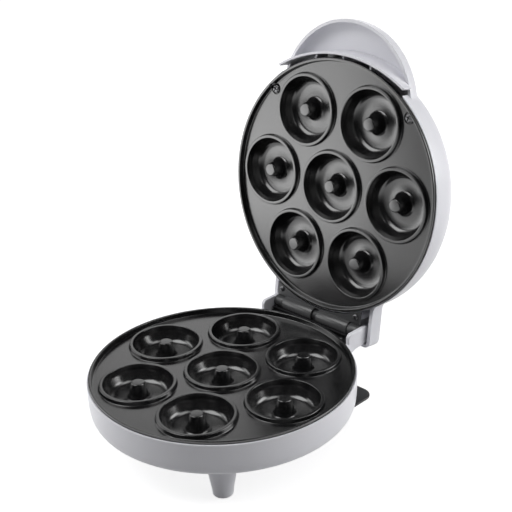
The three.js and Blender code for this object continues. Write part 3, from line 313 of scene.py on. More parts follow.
def noise(nodes, links, vector, scale, detail=3.0, rough=0.5):
    node = nodes.new("ShaderNodeTexNoise")
    node.inputs["Scale"].default_value = scale
    node.inputs["Detail"].default_value = detail
    node.inputs["Roughness"].default_value = rough
    links.new(vector, node.inputs["Vector"])
    return node.outputs["Fac"]


def ramp(nodes, links, value, stops):
    """Colours between (position, colour) stops."""
    node = nodes.new("ShaderNodeValToRGB")
    elements = node.color_ramp.elements
    while len(elements) < len(stops):
        elements.new(0.5)
    for element, (place, colour) in zip(elements, stops):
        element.position = place
        element.color = (*colour, 1.0)
    links.new(value, node.inputs["Fac"])
    return node.outputs["Color"]


def spread(nodes, links, value, low, high, from_low=0.3, from_high=0.7):
    """The value's range from_low to from_high stretched over low to high, and clamped there."""
    node = nodes.new("ShaderNodeMapRange")
    node.inputs["From Min"].default_value = from_low
    node.inputs["From Max"].default_value = from_high
    node.inputs["To Min"].default_value = low
    node.inputs["To Max"].default_value = high
    links.new(value, node.inputs["Value"])
    return node.outputs["Result"]


def combined(nodes, links, operation, a, b):
    """One value made from two by a maths operation."""
    node = nodes.new("ShaderNodeMath")
    node.operation = operation
    links.new(a, node.inputs[0])
    links.new(b, node.inputs[1])
    return node.outputs[0]


def bump(nodes, links, shader, height, strength, distance):
    node = nodes.new("ShaderNodeBump")
    node.inputs["Strength"].default_value = strength
    node.inputs["Distance"].default_value = distance
    links.new(height, node.inputs["Height"])
    links.new(node.outputs["Normal"], shader.inputs["Normal"])


def shade(colour, factor):
    return tuple(min(1.0, channel * factor) for channel in colour)


def moulded(name, colour, roughness, grain, strength, variation=0.04, coat=0.0):
    """Moulded plastic or rubber: a faint flow mottling, uneven gloss and a fine surface grain.

    The gloss varies little on purpose: where a roughness crosses about 0.27, the denoiser leaves patches.
    """
    material, nodes, links, shader = new_material(name)
    place = nodes.new("ShaderNodeTexCoord").outputs["Object"]
    flow = noise(nodes, links, place, scale=22.0, detail=4.0)
    fine = noise(nodes, links, place, scale=grain, detail=2.0)
    stops = [(0.25, shade(colour, 1 - variation)), (0.75, shade(colour, 1 + variation))]
    links.new(ramp(nodes, links, flow, stops), shader.inputs["Base Color"])
    gloss = spread(nodes, links, flow, roughness * 0.93, roughness * 1.07)
    links.new(gloss, shader.inputs["Roughness"])
    shader.inputs["IOR"].default_value = 1.48
    shader.inputs["Coat Weight"].default_value = coat
    shader.inputs["Coat Roughness"].default_value = 0.2
    bump(nodes, links, shader, fine, strength, GRAIN_DEPTH)
    return material


def coated(name, dark, speck, roughness):
    """Sprayed non-stick coating: dark, with fine light and dark specks and a slight orange peel."""
    material, nodes, links, shader = new_material(name)
    place = nodes.new("ShaderNodeTexCoord").outputs["Object"]
    fine = noise(nodes, links, place, scale=1500.0, detail=2.0, rough=0.6)
    peel = noise(nodes, links, place, scale=1250.0, detail=2.0, rough=0.7)
    broad = noise(nodes, links, place, scale=14.0)
    colour = ramp(nodes, links, fine, [(0.30, shade(dark, 0.75)), (0.52, dark), (0.68, speck)])
    links.new(colour, shader.inputs["Base Color"])
    gloss = spread(nodes, links, broad, roughness * 0.97, roughness * 1.03)
    links.new(gloss, shader.inputs["Roughness"])
    shader.inputs["IOR"].default_value = 1.85
    bump(nodes, links, shader, peel, 0.40, PEEL_DEPTH)
    return material


def metal(name, colour, roughness):
    """Plated or brushed metal with fine streaks and slight staining."""
    material, nodes, links, shader = new_material(name)
    place = nodes.new("ShaderNodeTexCoord").outputs["Object"]
    stretch = nodes.new("ShaderNodeMapping")
    stretch.inputs["Scale"].default_value = (0.08, 1.0, 1.0)
    links.new(place, stretch.inputs["Vector"])
    streak = noise(nodes, links, stretch.outputs["Vector"], scale=900.0)
    stain = noise(nodes, links, place, scale=60.0, detail=4.0)
    tint = ramp(nodes, links, stain, [(0.3, shade(colour, 0.88)), (0.7, colour)])
    links.new(tint, shader.inputs["Base Color"])
    gloss = spread(nodes, links, streak, roughness * 0.8, roughness * 1.3)
    links.new(gloss, shader.inputs["Roughness"])
    shader.inputs["Metallic"].default_value = 1.0
    bump(nodes, links, shader, streak, 0.15, STREAK_DEPTH)
    return material


SHELL_WHITE = moulded("shell_white", (0.76, 0.76, 0.80), 0.31, grain=2600.0, variation=0.02, strength=0.12)
NON_STICK = coated("non_stick", (0.002, 0.002, 0.0024), (0.030, 0.030, 0.031), 0.22)
BLACK = moulded("black_plastic", (0.018, 0.018, 0.020), 0.42, grain=1500.0, strength=0.4)
# the hinge barrels' grey: glossier than the cover's grey plastic, and lighter, which is painted light on the
# barrels
LIT_BARREL_GREY = moulded("glossy_grey_with_painted_light", (0.075, 0.0755, 0.077), 0.24, grain=1900.0, strength=0.2)
GREY = moulded("grey_plastic", (0.050, 0.051, 0.053), 0.34, grain=1900.0, strength=0.3)
RUBBER = moulded("pad_rubber", (0.02, 0.02, 0.021), 0.8, grain=900.0, strength=0.6)
STEEL = metal("plated_steel", (0.52, 0.53, 0.55), 0.28)
BLACK_STEEL = metal("blackened_steel", (0.17, 0.17, 0.175), 0.34)
SHEATH = metal("element_sheath", (0.10, 0.095, 0.09), 0.45)
SHEET = metal("bright_sheet", (0.75, 0.76, 0.78), 0.22)
CERAMIC = moulded("ceramic", (0.72, 0.67, 0.56), 0.55, grain=1200.0, strength=0.5)
SLEEVE = moulded("silicone_sleeve", (0.36, 0.05, 0.035), 0.5, grain=1400.0, strength=0.5)
RED = moulded("red_lens", (0.45, 0.015, 0.012), 0.12, grain=300.0, strength=0.1, coat=0.6)
GREEN = moulded("green_lens", (0.015, 0.30, 0.05), 0.12, grain=300.0, strength=0.1, coat=0.6)

SLOT_LOOKS = {
    "white_plastic": SHELL_WHITE, "black_plastic": BLACK, "grey_plastic": GREY, "non_stick": NON_STICK,
    "steel": STEEL, "dark_steel": SHEATH, "aluminium": SHEET, "rubber": RUBBER, "ceramic": CERAMIC,
    "red_lens": RED, "green_lens": GREEN, "silicone": SLEEVE,
}


def dress_frame():
    """Gives every carried-over CAD node a procedural material in place of its plain one."""
    slots = {entry["node"]: entry["material_slot"] for entry in frame["record"]["subparts"]}
    for node, slot in slots.items():
        obj = frame["nodes"][node]
        for i in range(len(obj.material_slots)):
            obj.material_slots[i].material = SLOT_LOOKS[slot]


# ------------------------------------------------------------------ mould plates
PATCH_R = 29.4                   # where a mould's own mesh meets the flat land
LAND, LAND_UNDER = -4.0, -6.5
PLATE_R, RIM_IN, LAND_R = SEAT_R - CLEARANCE, 94.75, 93.2
LAND_UNDER_R = LAND_R - 1.2
RIM_FOOT_R, RIM_UNDER = 94.2, -2.2
SKIRT_R = 95.35
POST_TOP, RIDGE_TOP = -1.15, -1.0
CUP_BOTTOM = -15.9
POCKET_R, POCKET_FLOOR = 4.5, -5.0
LID_SCREW_HOLE_R = 2.1


def mould_centres():
    return [(0.0, 0.0)] + circle((0, 0), MOULD_RING, 6)


def mould_profile():
    """From the post's top down into the cavity, up over the ridge and out to the land."""
    return rounded([
        (0, POST_TOP), (4.75, POST_TOP, 0.9), (5.9, -6.0, 6.0),
        (7.6, -13.5, 3.2), (14.4, -14.1, 30.0), (21.3, -13.4, 7.0), (24.7, -5.6, 8.0),
        (25.35, RIDGE_TOP, 0.5), (27.75, RIDGE_TOP, 0.6),
        (28.2, LAND, 0.5), (PATCH_R, LAND),
    ], 7)


def cup_profile():
    """The underside of one mould, from its middle out to the underside of the land."""
    return rounded([
        (0, CUP_BOTTOM), (17.0, CUP_BOTTOM, 2.0), (24.2, -13.6, 5.0),
        (27.6, LAND_UNDER, 1.0), (PATCH_R, LAND_UNDER),
    ], 5)


def rim_profile():
    """From the land up the rim's wall, over its top, down its outside and in below the land."""
    return rounded([
        (LAND_R, LAND), (RIM_FOOT_R, LAND, 0.6), (RIM_IN, 0, 0.5),
        (PLATE_R, 0, 0.45), (PLATE_R, RIM_UNDER, 0.3), (SKIRT_R, RIM_UNDER, 0.1),
        (SKIRT_R, LAND_UNDER, 0.8), (LAND_UNDER_R, LAND_UNDER),
    ], 5)


def flat_with_holes(radius, hole_radius, height):
    """A flat disc with a round hole at each mould, meeting the lathes' own edge points."""
    body = bmesh.new()
    edges = []
    circles = [circle((0, 0), radius, RIM_SIDES)]
    circles += [circle(centre, hole_radius, MOULD_SIDES) for centre in mould_centres()]
    for points in circles:
        loop = [body.verts.new((x, y, height)) for x, y in points]
        edges += [body.edges.new((vert, loop[(i + 1) % len(loop)])) for i, vert in enumerate(loop)]
    bmesh.ops.triangle_fill(body, use_beauty=True, use_dissolve=False, edges=edges, normal=(0, 0, 1))
    body.verts.index_update()
    shape = ([tuple(v.co) for v in body.verts], [[v.index for v in f.verts] for f in body.faces])
    body.free()
    return shape


def plate_shape():
    parts = [
        flat_with_holes(LAND_R, PATCH_R, LAND),
        flat_with_holes(LAND_UNDER_R, PATCH_R, LAND_UNDER),
        lathe(rim_profile(), RIM_SIDES),
    ]
    for centre in mould_centres():
        parts.append(lathe(mould_profile(), MOULD_SIDES, centre))
        parts.append(lathe(cup_profile(), MOULD_SIDES, centre))
    return joined(parts)


def flip(shape):
    """A plate built cooking side up, turned over into the closed lid."""
    verts, faces = shape
    return [(x, y, PARTING_GAP - z) for x, y, z in verts], faces


def build_plates():
    """The same plate twice; the lid's has a screw pocket and hole at each side of the handle."""
    base = raw("base_plate_detail", plate_shape())
    finish_piece(base, "base", ["base_plate"], NON_STICK)
    lid = raw("lid_plate_detail", flip(plate_shape()))
    pocket = rounded([(0, POCKET_FLOOR), (POCKET_R, POCKET_FLOOR, 0.6), (POCKET_R, 2.0), (0, 2.0)], 3)
    x, y = LID_SCREW
    for centre in ((-x, y), (x, y)):
        cut(lid, flip(lathe(pocket, 48, centre)), flip(cylinder(LID_SCREW_HOLE_R, -9.0, -4.5, 24, centre)))
    finish_piece(lid, "lid", ["lid_plate"], NON_STICK)


# ------------------------------------------------------------------ the lid's outer form
RAY_RING_R, RAY_RING_Z = 58.0, 5.0    # every ray starts on this ring inside the dome
RAY_REACH, RAY_HALVINGS = 90.0, 26
HANDLE_BLEND, HOOD_BLEND = 1.6, 3.0


def cap_distance(r, z, flat, radius, height, power):
    """Roughly how far outside a squarish cap a point is; below the cap its wall runs straight down."""
    a = np.maximum(r - flat, 0) / (radius - flat)
    b = np.maximum(z, 0) / height
    g = np.maximum((a ** power + b ** power) ** (1 / power), 1e-6)
    slope = g ** (1 - power) * np.hypot(a ** (power - 1) / (radius - flat), b ** (power - 1) / height)
    return (g - 1) / np.maximum(slope, 1e-3)


def box_distance(x, y, z):
    """Distance outside the hood's rounded block, which runs on downwards and ends inside the dome."""
    q = [np.abs(x) - (HOOD_X - HOOD_CORNER), y - (HOOD_REAR - HOOD_CORNER),
         z - (HOOD_TOP - HOOD_CORNER), HOOD_FRONT - y]
    outside = np.sqrt(sum(np.maximum(v, 0) ** 2 for v in q))
    return outside + np.minimum(np.maximum.reduce(q), 0) - HOOD_CORNER


def blend(a, b, width):
    h = np.maximum(width - np.abs(a - b), 0) / width
    return np.minimum(a, b) - h * h * width / 4


def lid_distance(x, y, z):
    dome = cap_distance(np.hypot(x, y), z - PARTING_GAP, DOME_FLAT, DOME_R, DOME_HEIGHT, DOME_POWER)
    handle = cap_distance(np.hypot(x, y - HANDLE_Y), z - HANDLE_BOTTOM,
                          HANDLE_FLAT, HANDLE_R, HANDLE_HEIGHT, HANDLE_POWER)
    return blend(blend(dome, handle, HANDLE_BLEND), box_distance(x, y, z), HOOD_BLEND)


def lid_turns():
    """Directions about Z, in degrees, closer together where hood and handle leave the dome."""
    coarse = np.arange(0, 360, 1.2)
    hood = [np.arange(a - 4, a + 4, 0.2) for a in (66.4, 113.6)]
    handle = [np.arange(a - 4, a + 4, 0.4) for a in (-52, -128)]
    return np.unique(np.round(np.concatenate([coarse] + hood + handle) % 360, 3))


def lid_rises():
    """Angles above level, in degrees, closest together where the wall turns over into the top."""
    spans = [np.linspace(0, 12, 8), np.linspace(12, 40, 44), np.linspace(40, 90, 26)]
    return np.unique(np.round(np.concatenate(spans), 3))


def ray_ends(phi, beta):
    """Radius and height where each ray leaves dome, handle and hood, found by halving its length."""
    near, far = np.zeros_like(phi), np.full_like(phi, RAY_REACH)
    for _ in range(RAY_HALVINGS):
        middle = (near + far) / 2
        r, z = RAY_RING_R + middle * np.cos(beta), RAY_RING_Z + middle * np.sin(beta)
        inside = lid_distance(r * np.cos(phi), r * np.sin(phi), z) < 0
        near, far = np.where(inside, middle, near), np.where(inside, far, middle)
    return RAY_RING_R + near * np.cos(beta), RAY_RING_Z + near * np.sin(beta)


def lid_rings():
    """Rings of points: the rounded lower edge, where the rays end, then the flat middle of the top."""
    turns, rises = lid_turns(), lid_rises()
    phi, beta = np.meshgrid(np.radians(turns), np.radians(rises), indexing="ij")
    r, z = ray_ends(phi, beta)
    turn = phi[:, 0]

    def ring(radius, height):
        return np.stack([radius * np.cos(turn), radius * np.sin(turn), np.full_like(turn, height)], -1)

    rings = [ring(r[:, 0] - inset, LID_EDGE + lift) for inset, lift in ((0.32, 0), (0.08, 0.1), (0, 0.35))]
    rings += [ring(r[:, k], z[:, k]) for k in range(len(rises))]
    for share in (0.85, 0.7, 0.5, 0.25):
        radius = RAY_RING_R * share
        a = max(radius - DOME_FLAT, 0) / (DOME_R - DOME_FLAT)
        rings.append(ring(radius, PARTING_GAP + DOME_HEIGHT * (1 - a ** DOME_POWER) ** (1 / DOME_POWER)))
    return rings


def lid_outside():
    """The lid's outer form: its rings joined by faces and closed at both ends by a fan."""
    rings = lid_rings()
    count = len(rings[0])
    verts = [tuple(point) for ring in rings for point in ring]
    faces = []
    for k in range(len(rings) - 1):
        for i in range(count):
            j = (i + 1) % count
            faces.append([k * count + i, k * count + j, (k + 1) * count + j, (k + 1) * count + i])
    for height, start in ((LID_EDGE, 0), (DOME_TOP, (len(rings) - 1) * count)):
        middle = len(verts)
        verts.append((0, 0, height))
        faces += [[start + i, start + (i + 1) % count, middle] for i in range(count)]
    return verts, faces


# ------------------------------------------------------------------ lid shell and handle lip
LID_SEAT = PARTING_GAP - RIM_UNDER + CLEARANCE    # ledge that the lid plate's rim seats against
SCOOP_POWER = 3.0
HANDLE_HALF_DEG, HOOD_HALF_DEG = 62, 50
FAR = 150                        # beyond the shell on every side
BOSS_R, BOSS_BOTTOM = 3.4, COVER_TOP + CLEARANCE
LIP_R, LIP_FRONT, LIP_HALF, LIP_WALL = 117.0, 101.3, 60.0, 2.0
RIB_X, RIB_HALF, RIB_LOW, RIB_TOP = 26, 0.75, 4.0, 17.0
RIB_FRONT, RIB_END_R = 100.0, 95.6    # from inside the lip's wall to a circle about the dome's axis


def cap_profile(flat, radius, height, power, bottom, steps=28):
    """A squarish cap's wall from its foot up to its top, as [radius, height] points."""
    line = []
    for i in range(steps + 1):
        rise = math.sin(math.pi / 2 * i / steps)
        reach = max(0, 1 - rise ** power) ** (1 / power)
        line.append((flat + (radius - flat) * reach, bottom + height * rise))
    return line


def dome_solid():
    wall = cap_profile(DOME_FLAT, DOME_R, DOME_HEIGHT, DOME_POWER, PARTING_GAP)
    return lathe([(0, PARTING_GAP)] + wall + [(0, DOME_TOP)], RIM_SIDES)


def dome_hollow():
    """The dome's inside, wider below the ledge, where the plate's rim goes in."""
    inner = DOME_R - SHELL_WALL
    wall = cap_profile(DOME_FLAT - 1, inner, DOME_HEIGHT - SHELL_WALL, DOME_POWER, PARTING_GAP)
    seat = [(0, -1), (SEAT_R, -1), (SEAT_R, LID_SEAT), (inner, LID_SEAT)]
    above = [point for point in wall if point[1] > LID_SEAT]
    return lathe(seat + above + [(0, DOME_TOP - SHELL_WALL)], RIM_SIDES)


def scoop(clearance, sides):
    """The handle's hollow, or with a clearance the room that the lip may fill in it."""
    inner = HANDLE_R - HANDLE_WALL - clearance
    height = HANDLE_HEIGHT - HANDLE_WALL - clearance
    wall = cap_profile(HANDLE_FLAT - 8, inner, height, SCOOP_POWER, HANDLE_BOTTOM, 20)
    return lathe([(0, -1), (inner, -1)] + wall + [(0, HANDLE_BOTTOM + height)], sides, (0, HANDLE_Y))


def outside_sector(middle, half, high):
    """What lies outside the dome, from below it up to a height, over part of the way round."""
    outline = arc((0, 0), DOME_R + 0.1, middle - half, middle + half, 96)
    outline += arc((0, 0), FAR, middle + half, middle - half, 24)
    return prism(outline, -5, high)


def hood_cavity():
    side, rear, top = HOOD_X - HOOD_WALL, HOOD_REAR - HOOD_REAR_WALL, HOOD_TOP - HOOD_ROOF
    outline = rounded([(60, -5), (rear, -5), (rear, top, 2.0), (60, top)], 4)
    return cut(raw("hood_cavity", prism(outline, -side, side, "X")), dome_solid())


def build_lid_shell():
    """Dome, handle and hood in one, hollowed, with the cover's screw bosses and the lamps' holes."""
    shell = raw("lid_shell_detail", lid_outside())
    cut(shell, outside_sector(-90, HANDLE_HALF_DEG, HANDLE_BOTTOM), dome_hollow(), scoop(0, 160),
        outside_sector(90, HOOD_HALF_DEG, HOOD_BOTTOM))
    combine(shell, [hood_cavity()], "DIFFERENCE")
    top = HOOD_TOP - 1.5
    boss = rounded([
        (SCREW_HOLE_R, BOSS_BOTTOM), (BOSS_R, BOSS_BOTTOM, 0.3), (BOSS_R, top), (SCREW_HOLE_R, top),
        (SCREW_HOLE_R, BOSS_BOTTOM),
    ], 2)
    x, y = COVER_SCREW
    add(shell, lathe(boss, 32, (-x, y)), lathe(boss, 32, (x, y)))
    for x in (-LAMP_X, LAMP_X):
        cut(shell, cylinder(LENS_R + CLEARANCE, DOME_TOP - 8, DOME_TOP + 5, 48, (x, LAMP_Y)))
    finish_piece(shell, "lid", ["lid_shell"], SHELL_WHITE)


def build_lip():
    """The curved wall between the handle's scoop and the plate, with the ribs behind it."""
    centre = (0, LIP_R - LIP_FRONT)
    span = math.degrees(math.asin(LIP_HALF / LIP_R))
    outline = arc(centre, LIP_R, -90 - span, -90 + span, 72)
    outline += arc(centre, LIP_R - LIP_WALL, -90 + span, -90 - span, 72)
    lip = bevel(raw("handle_lip_detail", prism(outline, 0, HANDLE_TOP - 2.6)), 0.55)
    room = raw("room", scoop(CLEARANCE, 96))
    add(room, block((-80, -130, -2), (80, 0, HANDLE_BOTTOM - CLEARANCE)))
    combine(lip, [room], "INTERSECT")
    for x in (-RIB_X, 0, RIB_X):
        front = -RIB_FRONT + x * x / (2 * LIP_R)
        end = -(RIB_END_R ** 2 - x * x) ** 0.5
        add(lip, block((x - RIB_HALF, front, RIB_LOW), (x + RIB_HALF, end, RIB_TOP)))
    finish_piece(lip, "lid", ["handle_lip"], SHELL_WHITE)


# ------------------------------------------------------------------ base
BASE_INNER_R = SHELL_R - SHELL_WALL
BASE_FLAT, BASE_INNER_FLAT, BASE_POWER = 86, 84, 6
BASE_SEAT = RIM_UNDER - CLEARANCE    # ledge that the base plate's rim rests on
EAR_REAR, EAR_TOP = 111.5, 6.0
SHELF_LOW, SHELF_TOP = -9.6, -6.6
GLAND_Z = -17.0
GLAND_BORE_R, GLAND_NECK_R, GLAND_FLANGE_R = 2.8, 4.2, 6.6
GLAND_IN, GLAND_OUT = 91.6, 102.6
FRONT_FEET = [(-53, -53), (53, -53)]
REAR_FEET = [(-30, 75), (30, 75)]
FOOT_TOP_R, FOOT_END_R, FOOT_RECESS_R = 11.7, 7.2, 4.9
FOOT_END, FOOT_RECESS = -55.7, -53.6
PAD_R, PAD_TOP, GROUND = FOOT_RECESS_R - CLEARANCE, FOOT_RECESS - CLEARANCE, -56.3
WRAP_X, WRAP_FRONT, WRAP_REAR, WRAP_CORNER = 77.5, 46, 80.5, 9


def hanging(flat, radius, depth):
    """The wall of a squarish cap that hangs down from height zero."""
    return [(r, -d) for r, d in cap_profile(flat, radius, depth, BASE_POWER, 0)]


def base_outside():
    wall = hanging(BASE_FLAT, SHELL_R, BASE_DEPTH)
    edge = [(0, -PROUD), (97.6, -PROUD), (97.9, -PROUD - 0.12), (SHELL_R, -PROUD - 0.4)]
    below = [point for point in wall if point[1] < -PROUD - 0.5]
    return lathe(edge + below + [(0, -BASE_DEPTH)], RIM_SIDES)


def base_hollow():
    wall = hanging(BASE_INNER_FLAT, BASE_INNER_R, BASE_DEPTH - SHELL_WALL)
    seat = [(0, 3), (SEAT_R, 3), (SEAT_R, BASE_SEAT), (BASE_INNER_R, BASE_SEAT)]
    below = [point for point in wall if point[1] < BASE_SEAT - 0.1]
    return lathe(seat + below + [(0, SHELL_WALL - BASE_DEPTH)], RIM_SIDES)


def ear_outline():
    """An ear seen from the side: out of the shell's wall, round behind the pin and back."""
    front = math.sqrt(SHELL_R ** 2 - EAR_IN ** 2) + 0.4
    under_rim = -PROUD - 0.02
    return rounded([
        (front - 8, -13.8), (96.6, -8.8, 3), (109.0, -8.2, 3), (EAR_REAR, -5.4, 2), (EAR_REAR, EAR_TOP, 3),
        (front, EAR_TOP, 5), (front, under_rim), (front - 8, under_rim),
    ], 8)


def between_moulds(radius):
    return [(radius * math.cos(math.radians(a)), radius * math.sin(math.radians(a))) for a in (30, 150, 270)]


def build_base_shell():
    """The round housing with both ears and the cradle's shelf, hollowed and drilled."""
    shell = raw("base_shell_detail", base_outside())
    for low, high in ((EAR_IN, EAR_OUT), (-EAR_OUT, -EAR_IN)):
        ear = bevel(raw("ear", prism(ear_outline(), low, high, "X")), 0.5, angle=50)
        combine(shell, [ear], "UNION")
    shelf = block((-EAR_IN - 0.2, 80, SHELF_LOW), (EAR_IN + 0.2, HINGE_Y, SHELF_TOP))
    combine(shell, [bevel(raw("shelf", shelf), 0.4, 2)], "UNION")
    cut(shell, base_hollow(), *screw_holes(CRADLE_SCREW, -12, -3))
    cut(shell, *[cylinder(SCREW_HOLE_R, -30, -20, 32, place) for place in between_moulds(BASE_SCREW_RING)])
    cut(shell, along_y(cylinder(GLAND_NECK_R + CLEARANCE, 90, 101), 0, GLAND_Z))
    cut(shell, along_x(cylinder(PIN_BORE_R, -EAR_OUT - 1, EAR_OUT - 1)))
    finish_piece(shell, "base", ["base_shell"], SHELL_WHITE)


def build_feet():
    profile = rounded([
        (0, UNDERSIDE), (FOOT_TOP_R, UNDERSIDE, 0.4), (7.75, -50.5, 8.0), (FOOT_END_R, FOOT_END, 2.4),
        (FOOT_RECESS_R, FOOT_END, 0.2), (FOOT_RECESS_R, FOOT_RECESS), (0, FOOT_RECESS),
    ], 6)
    pad = rounded([(0, GROUND), (PAD_R, GROUND, 0.5), (PAD_R, PAD_TOP), (0, PAD_TOP)], 4)
    for i, centre in enumerate(FRONT_FEET + REAR_FEET, 1):
        foot = raw(f"foot_{i}_detail", lathe(profile, 96, centre))
        finish_piece(foot, "base", [f"foot_{i}"], SHELL_WHITE)
        sole = raw(f"foot_pad_{i}_detail", lathe(pad, 64, centre))
        finish_piece(sole, "base", [f"foot_pad_{i}"], RUBBER)


def build_cord_wrap():
    """The black plate under the base, with a hole round each rear foot."""
    corners = [(-WRAP_X, WRAP_FRONT), (WRAP_X, WRAP_FRONT), (WRAP_X, WRAP_REAR), (-WRAP_X, WRAP_REAR)]
    outline = rounded([(x, y, WRAP_CORNER) for x, y in corners], 12, closed=True)
    wrap = bevel(raw("cord_wrap_detail", prism(outline, WRAP_BOTTOM, UNDERSIDE)), 0.6)
    cut(wrap, *[cylinder(FOOT_TOP_R + CLEARANCE, -32, -25, 96, centre) for centre in REAR_FEET])
    cut(wrap, *screw_holes(WRAP_SCREW, -32, -25))
    finish_piece(wrap, "base", ["cord_wrap_plate"], BLACK)


def build_gland():
    profile = rounded([
        (GLAND_BORE_R, GLAND_IN), (GLAND_NECK_R, GLAND_IN, 0.4), (GLAND_NECK_R, SHELL_CLEAR_R),
        (GLAND_FLANGE_R, SHELL_CLEAR_R, 0.3), (GLAND_FLANGE_R, 99.9, 0.6), (GLAND_NECK_R, 100.9, 0.5),
        (3.6, GLAND_OUT, 0.4), (GLAND_BORE_R, GLAND_OUT), (GLAND_BORE_R, GLAND_IN),
    ], 4)
    gland = raw("cord_gland_detail", along_y(lathe(profile, 64), 0, GLAND_Z))
    finish_piece(gland, "base", ["cord_gland"], BLACK)


# ------------------------------------------------------------------ hinge
BARREL_R, BARREL_IN, BARREL_OUT = 5.5, 2.4, 33.6
WEB_INSET = 0.3                  # the web is this much shorter than its barrel at each end
BUSH_R, BUSH_IN = 4.8, BARREL_OUT + CLEARANCE
TROUGH_R = BARREL_R + CLEARANCE
TROUGH_OUTER_R = TROUGH_R + 2.0
LUG_R, LUG_HALF = 4.2, 1.7


def around_shell(low, high):
    """What the cradle and the cover keep clear of: the round shell and its clearance."""
    return cylinder(SHELL_CLEAR_R, low, high, RIM_SIDES)


def pin_bore():
    return along_x(cylinder(PIN_BORE_R, -44, 44))


def build_cradle():
    """The trough that the barrels lie in, with a lug on the pin between them."""
    centre = (HINGE_Y, HINGE_Z)
    outline = [(88, CRADLE_LOW), (HINGE_Y, CRADLE_LOW)] + arc(centre, TROUGH_OUTER_R, -90, -24.2, 16)
    outline += arc(centre, TROUGH_R, -33.5, -146.5, 24) + arc(centre, TROUGH_OUTER_R, -155.8, -124.9, 8)
    outline += [(88, CRADLE_TOP)]
    trough = prism(outline, -BEARING_HALF, BEARING_HALF, "X")
    cradle = bevel(raw("hinge_cradle_detail", trough), 0.25, 2, 50)
    lug = rounded([(0, -LUG_HALF), (LUG_R, -LUG_HALF, 0.3), (LUG_R, LUG_HALF, 0.3), (0, LUG_HALF)], 3)
    add(cradle, along_x(lathe(lug, 64)))
    add(cradle, block((-1.6, HINGE_Y - 3.84, -5.4), (1.6, HINGE_Y + 3.84, HINGE_Z)))
    cut(cradle, around_shell(-10, 8), pin_bore(), *screw_holes(CRADLE_SCREW, -8, -3))
    finish_piece(cradle, "base", ["hinge_cradle"], BLACK)


def build_bushes():
    profile = rounded([
        (PIN_BORE_R, BUSH_IN), (BUSH_R, BUSH_IN, 0.4), (BUSH_R, BEARING_HALF, 0.4),
        (PIN_BORE_R, BEARING_HALF), (PIN_BORE_R, BUSH_IN),
    ], 3)
    for side, name in ((1, "hinge_bush_right"), (-1, "hinge_bush_left")):
        bush = raw(name + "_detail", along_x(lathe([(r, side * h) for r, h in profile], 64)))
        finish_piece(bush, "base", [name], GREY)


def build_pin():
    start, end = -EAR_OUT + 0.4, EAR_OUT - 1.4
    profile = rounded([(0, start), (PIN_R, start, 0.3), (PIN_R, end, 0.3), (0, end)], 3)
    pin = raw("hinge_pin_detail", along_x(lathe(profile, 48)))
    finish_piece(pin, "base", ["hinge_pin"], STEEL)


def build_cover():
    """The flat cover under the hood with its two barrels, whose faces get a glossier grey; its lighter
    colour is painted light on the barrels.
    """
    flat = block((-BEARING_HALF, 80, COVER_LOW), (BEARING_HALF, 99.5, COVER_TOP))
    cover = bevel(raw("hinge_cover_detail", flat), 0.35, 2)
    cut(cover, around_shell(-2, 6))
    knuckle = rounded([
        (PIN_BORE_R, BARREL_IN), (BARREL_R, BARREL_IN, 0.5), (BARREL_R, BARREL_OUT, 0.5),
        (PIN_BORE_R, BARREL_OUT),
    ], 4)
    for side in (1, -1):
        profile = [(r, side * h) for r, h in knuckle] + [(PIN_BORE_R, side * BARREL_IN)]
        inner, outer = sorted((side * (BARREL_IN + WEB_INSET), side * (BARREL_OUT - WEB_INSET)))
        web = block((inner, 98.9, COVER_LOW), (outer, HINGE_Y - 3.3, COVER_TOP))
        add(cover, along_x(lathe(profile, 96)), web)
    cut(cover, pin_bore(), *screw_holes(COVER_SCREW, 0, 5))
    finish_piece(cover, "lid", ["hinge_cover"], GREY)
    # the barrels' faces take the lighter grey: painted light
    cover.data.materials.append(LIT_BARREL_GREY)
    axis = (LID @ HINGE).yz
    for face in cover.data.polygons:
        if (face.center.yz - axis).length < (BARREL_R + 0.1) * MM:
            face.material_index = 1


# ------------------------------------------------------------------ screws and lamps
SMALL_SCREW = (1.3, 2.3, 1.4)    # shank radius, head radius, head height
LARGE_SCREW = (1.8, 3.5, 2.0)


def build_screw(group, node, size, length, place, seat, down=False):
    """A pan-head screw with a cross recess, its head underneath unless it points down."""
    shank, head, height = size
    profile = rounded([
        (0, length), (shank, length, 0.3), (shank, 0), (head, 0, 0.2), (head, -height * 0.45, 0.5),
        (head * 0.72, -height * 0.94, 1.4), (0, -height),
    ], 5)
    screw = raw(node + "_detail", lathe(profile, 64))
    reach, wide, deep = head * 0.62, head * 0.16, height * 0.8
    for turn in (20, 110):
        c, s = math.cos(math.radians(turn)), math.sin(math.radians(turn))
        bar = [(-reach, -wide), (reach, -wide), (reach, wide), (-reach, wide)]
        turned = [(a * c - b * s, a * s + b * c) for a, b in bar]
        cut(screw, prism(turned, -height - 1, deep - height))
    over = Matrix.Rotation(math.pi, 4, "X") if down else Matrix.Identity(4)
    screw.data.transform(Matrix.Translation((*place, seat)) @ over)
    dark = node.startswith(("lid_plate", "hinge"))
    finish_piece(screw, group, [node], BLACK_STEEL if dark else STEEL)


def build_screws():
    for i, place in enumerate(between_moulds(BASE_SCREW_RING), 1):
        build_screw("base", f"base_plate_screw_{i}", SMALL_SCREW, 17.0, place, -BASE_DEPTH)
    places = (WRAP_SCREW, CRADLE_SCREW, COVER_SCREW, LID_SCREW)
    for i, side in enumerate((-1, 1), 1):
        wrap, cradle, cover, lid = [(side * x, y) for x, y in places]
        build_screw("base", f"cord_wrap_screw_{i}", SMALL_SCREW, 4.2, wrap, WRAP_BOTTOM)
        build_screw("base", f"hinge_cradle_screw_{i}", SMALL_SCREW, 4.8, cradle, CRADLE_TOP, down=True)
        build_screw("lid", f"hinge_cover_screw_{i}", SMALL_SCREW, 8.8, cover, COVER_LOW)
        build_screw("lid", f"lid_plate_screw_{i}", LARGE_SCREW, 12.0, lid, 5.2)


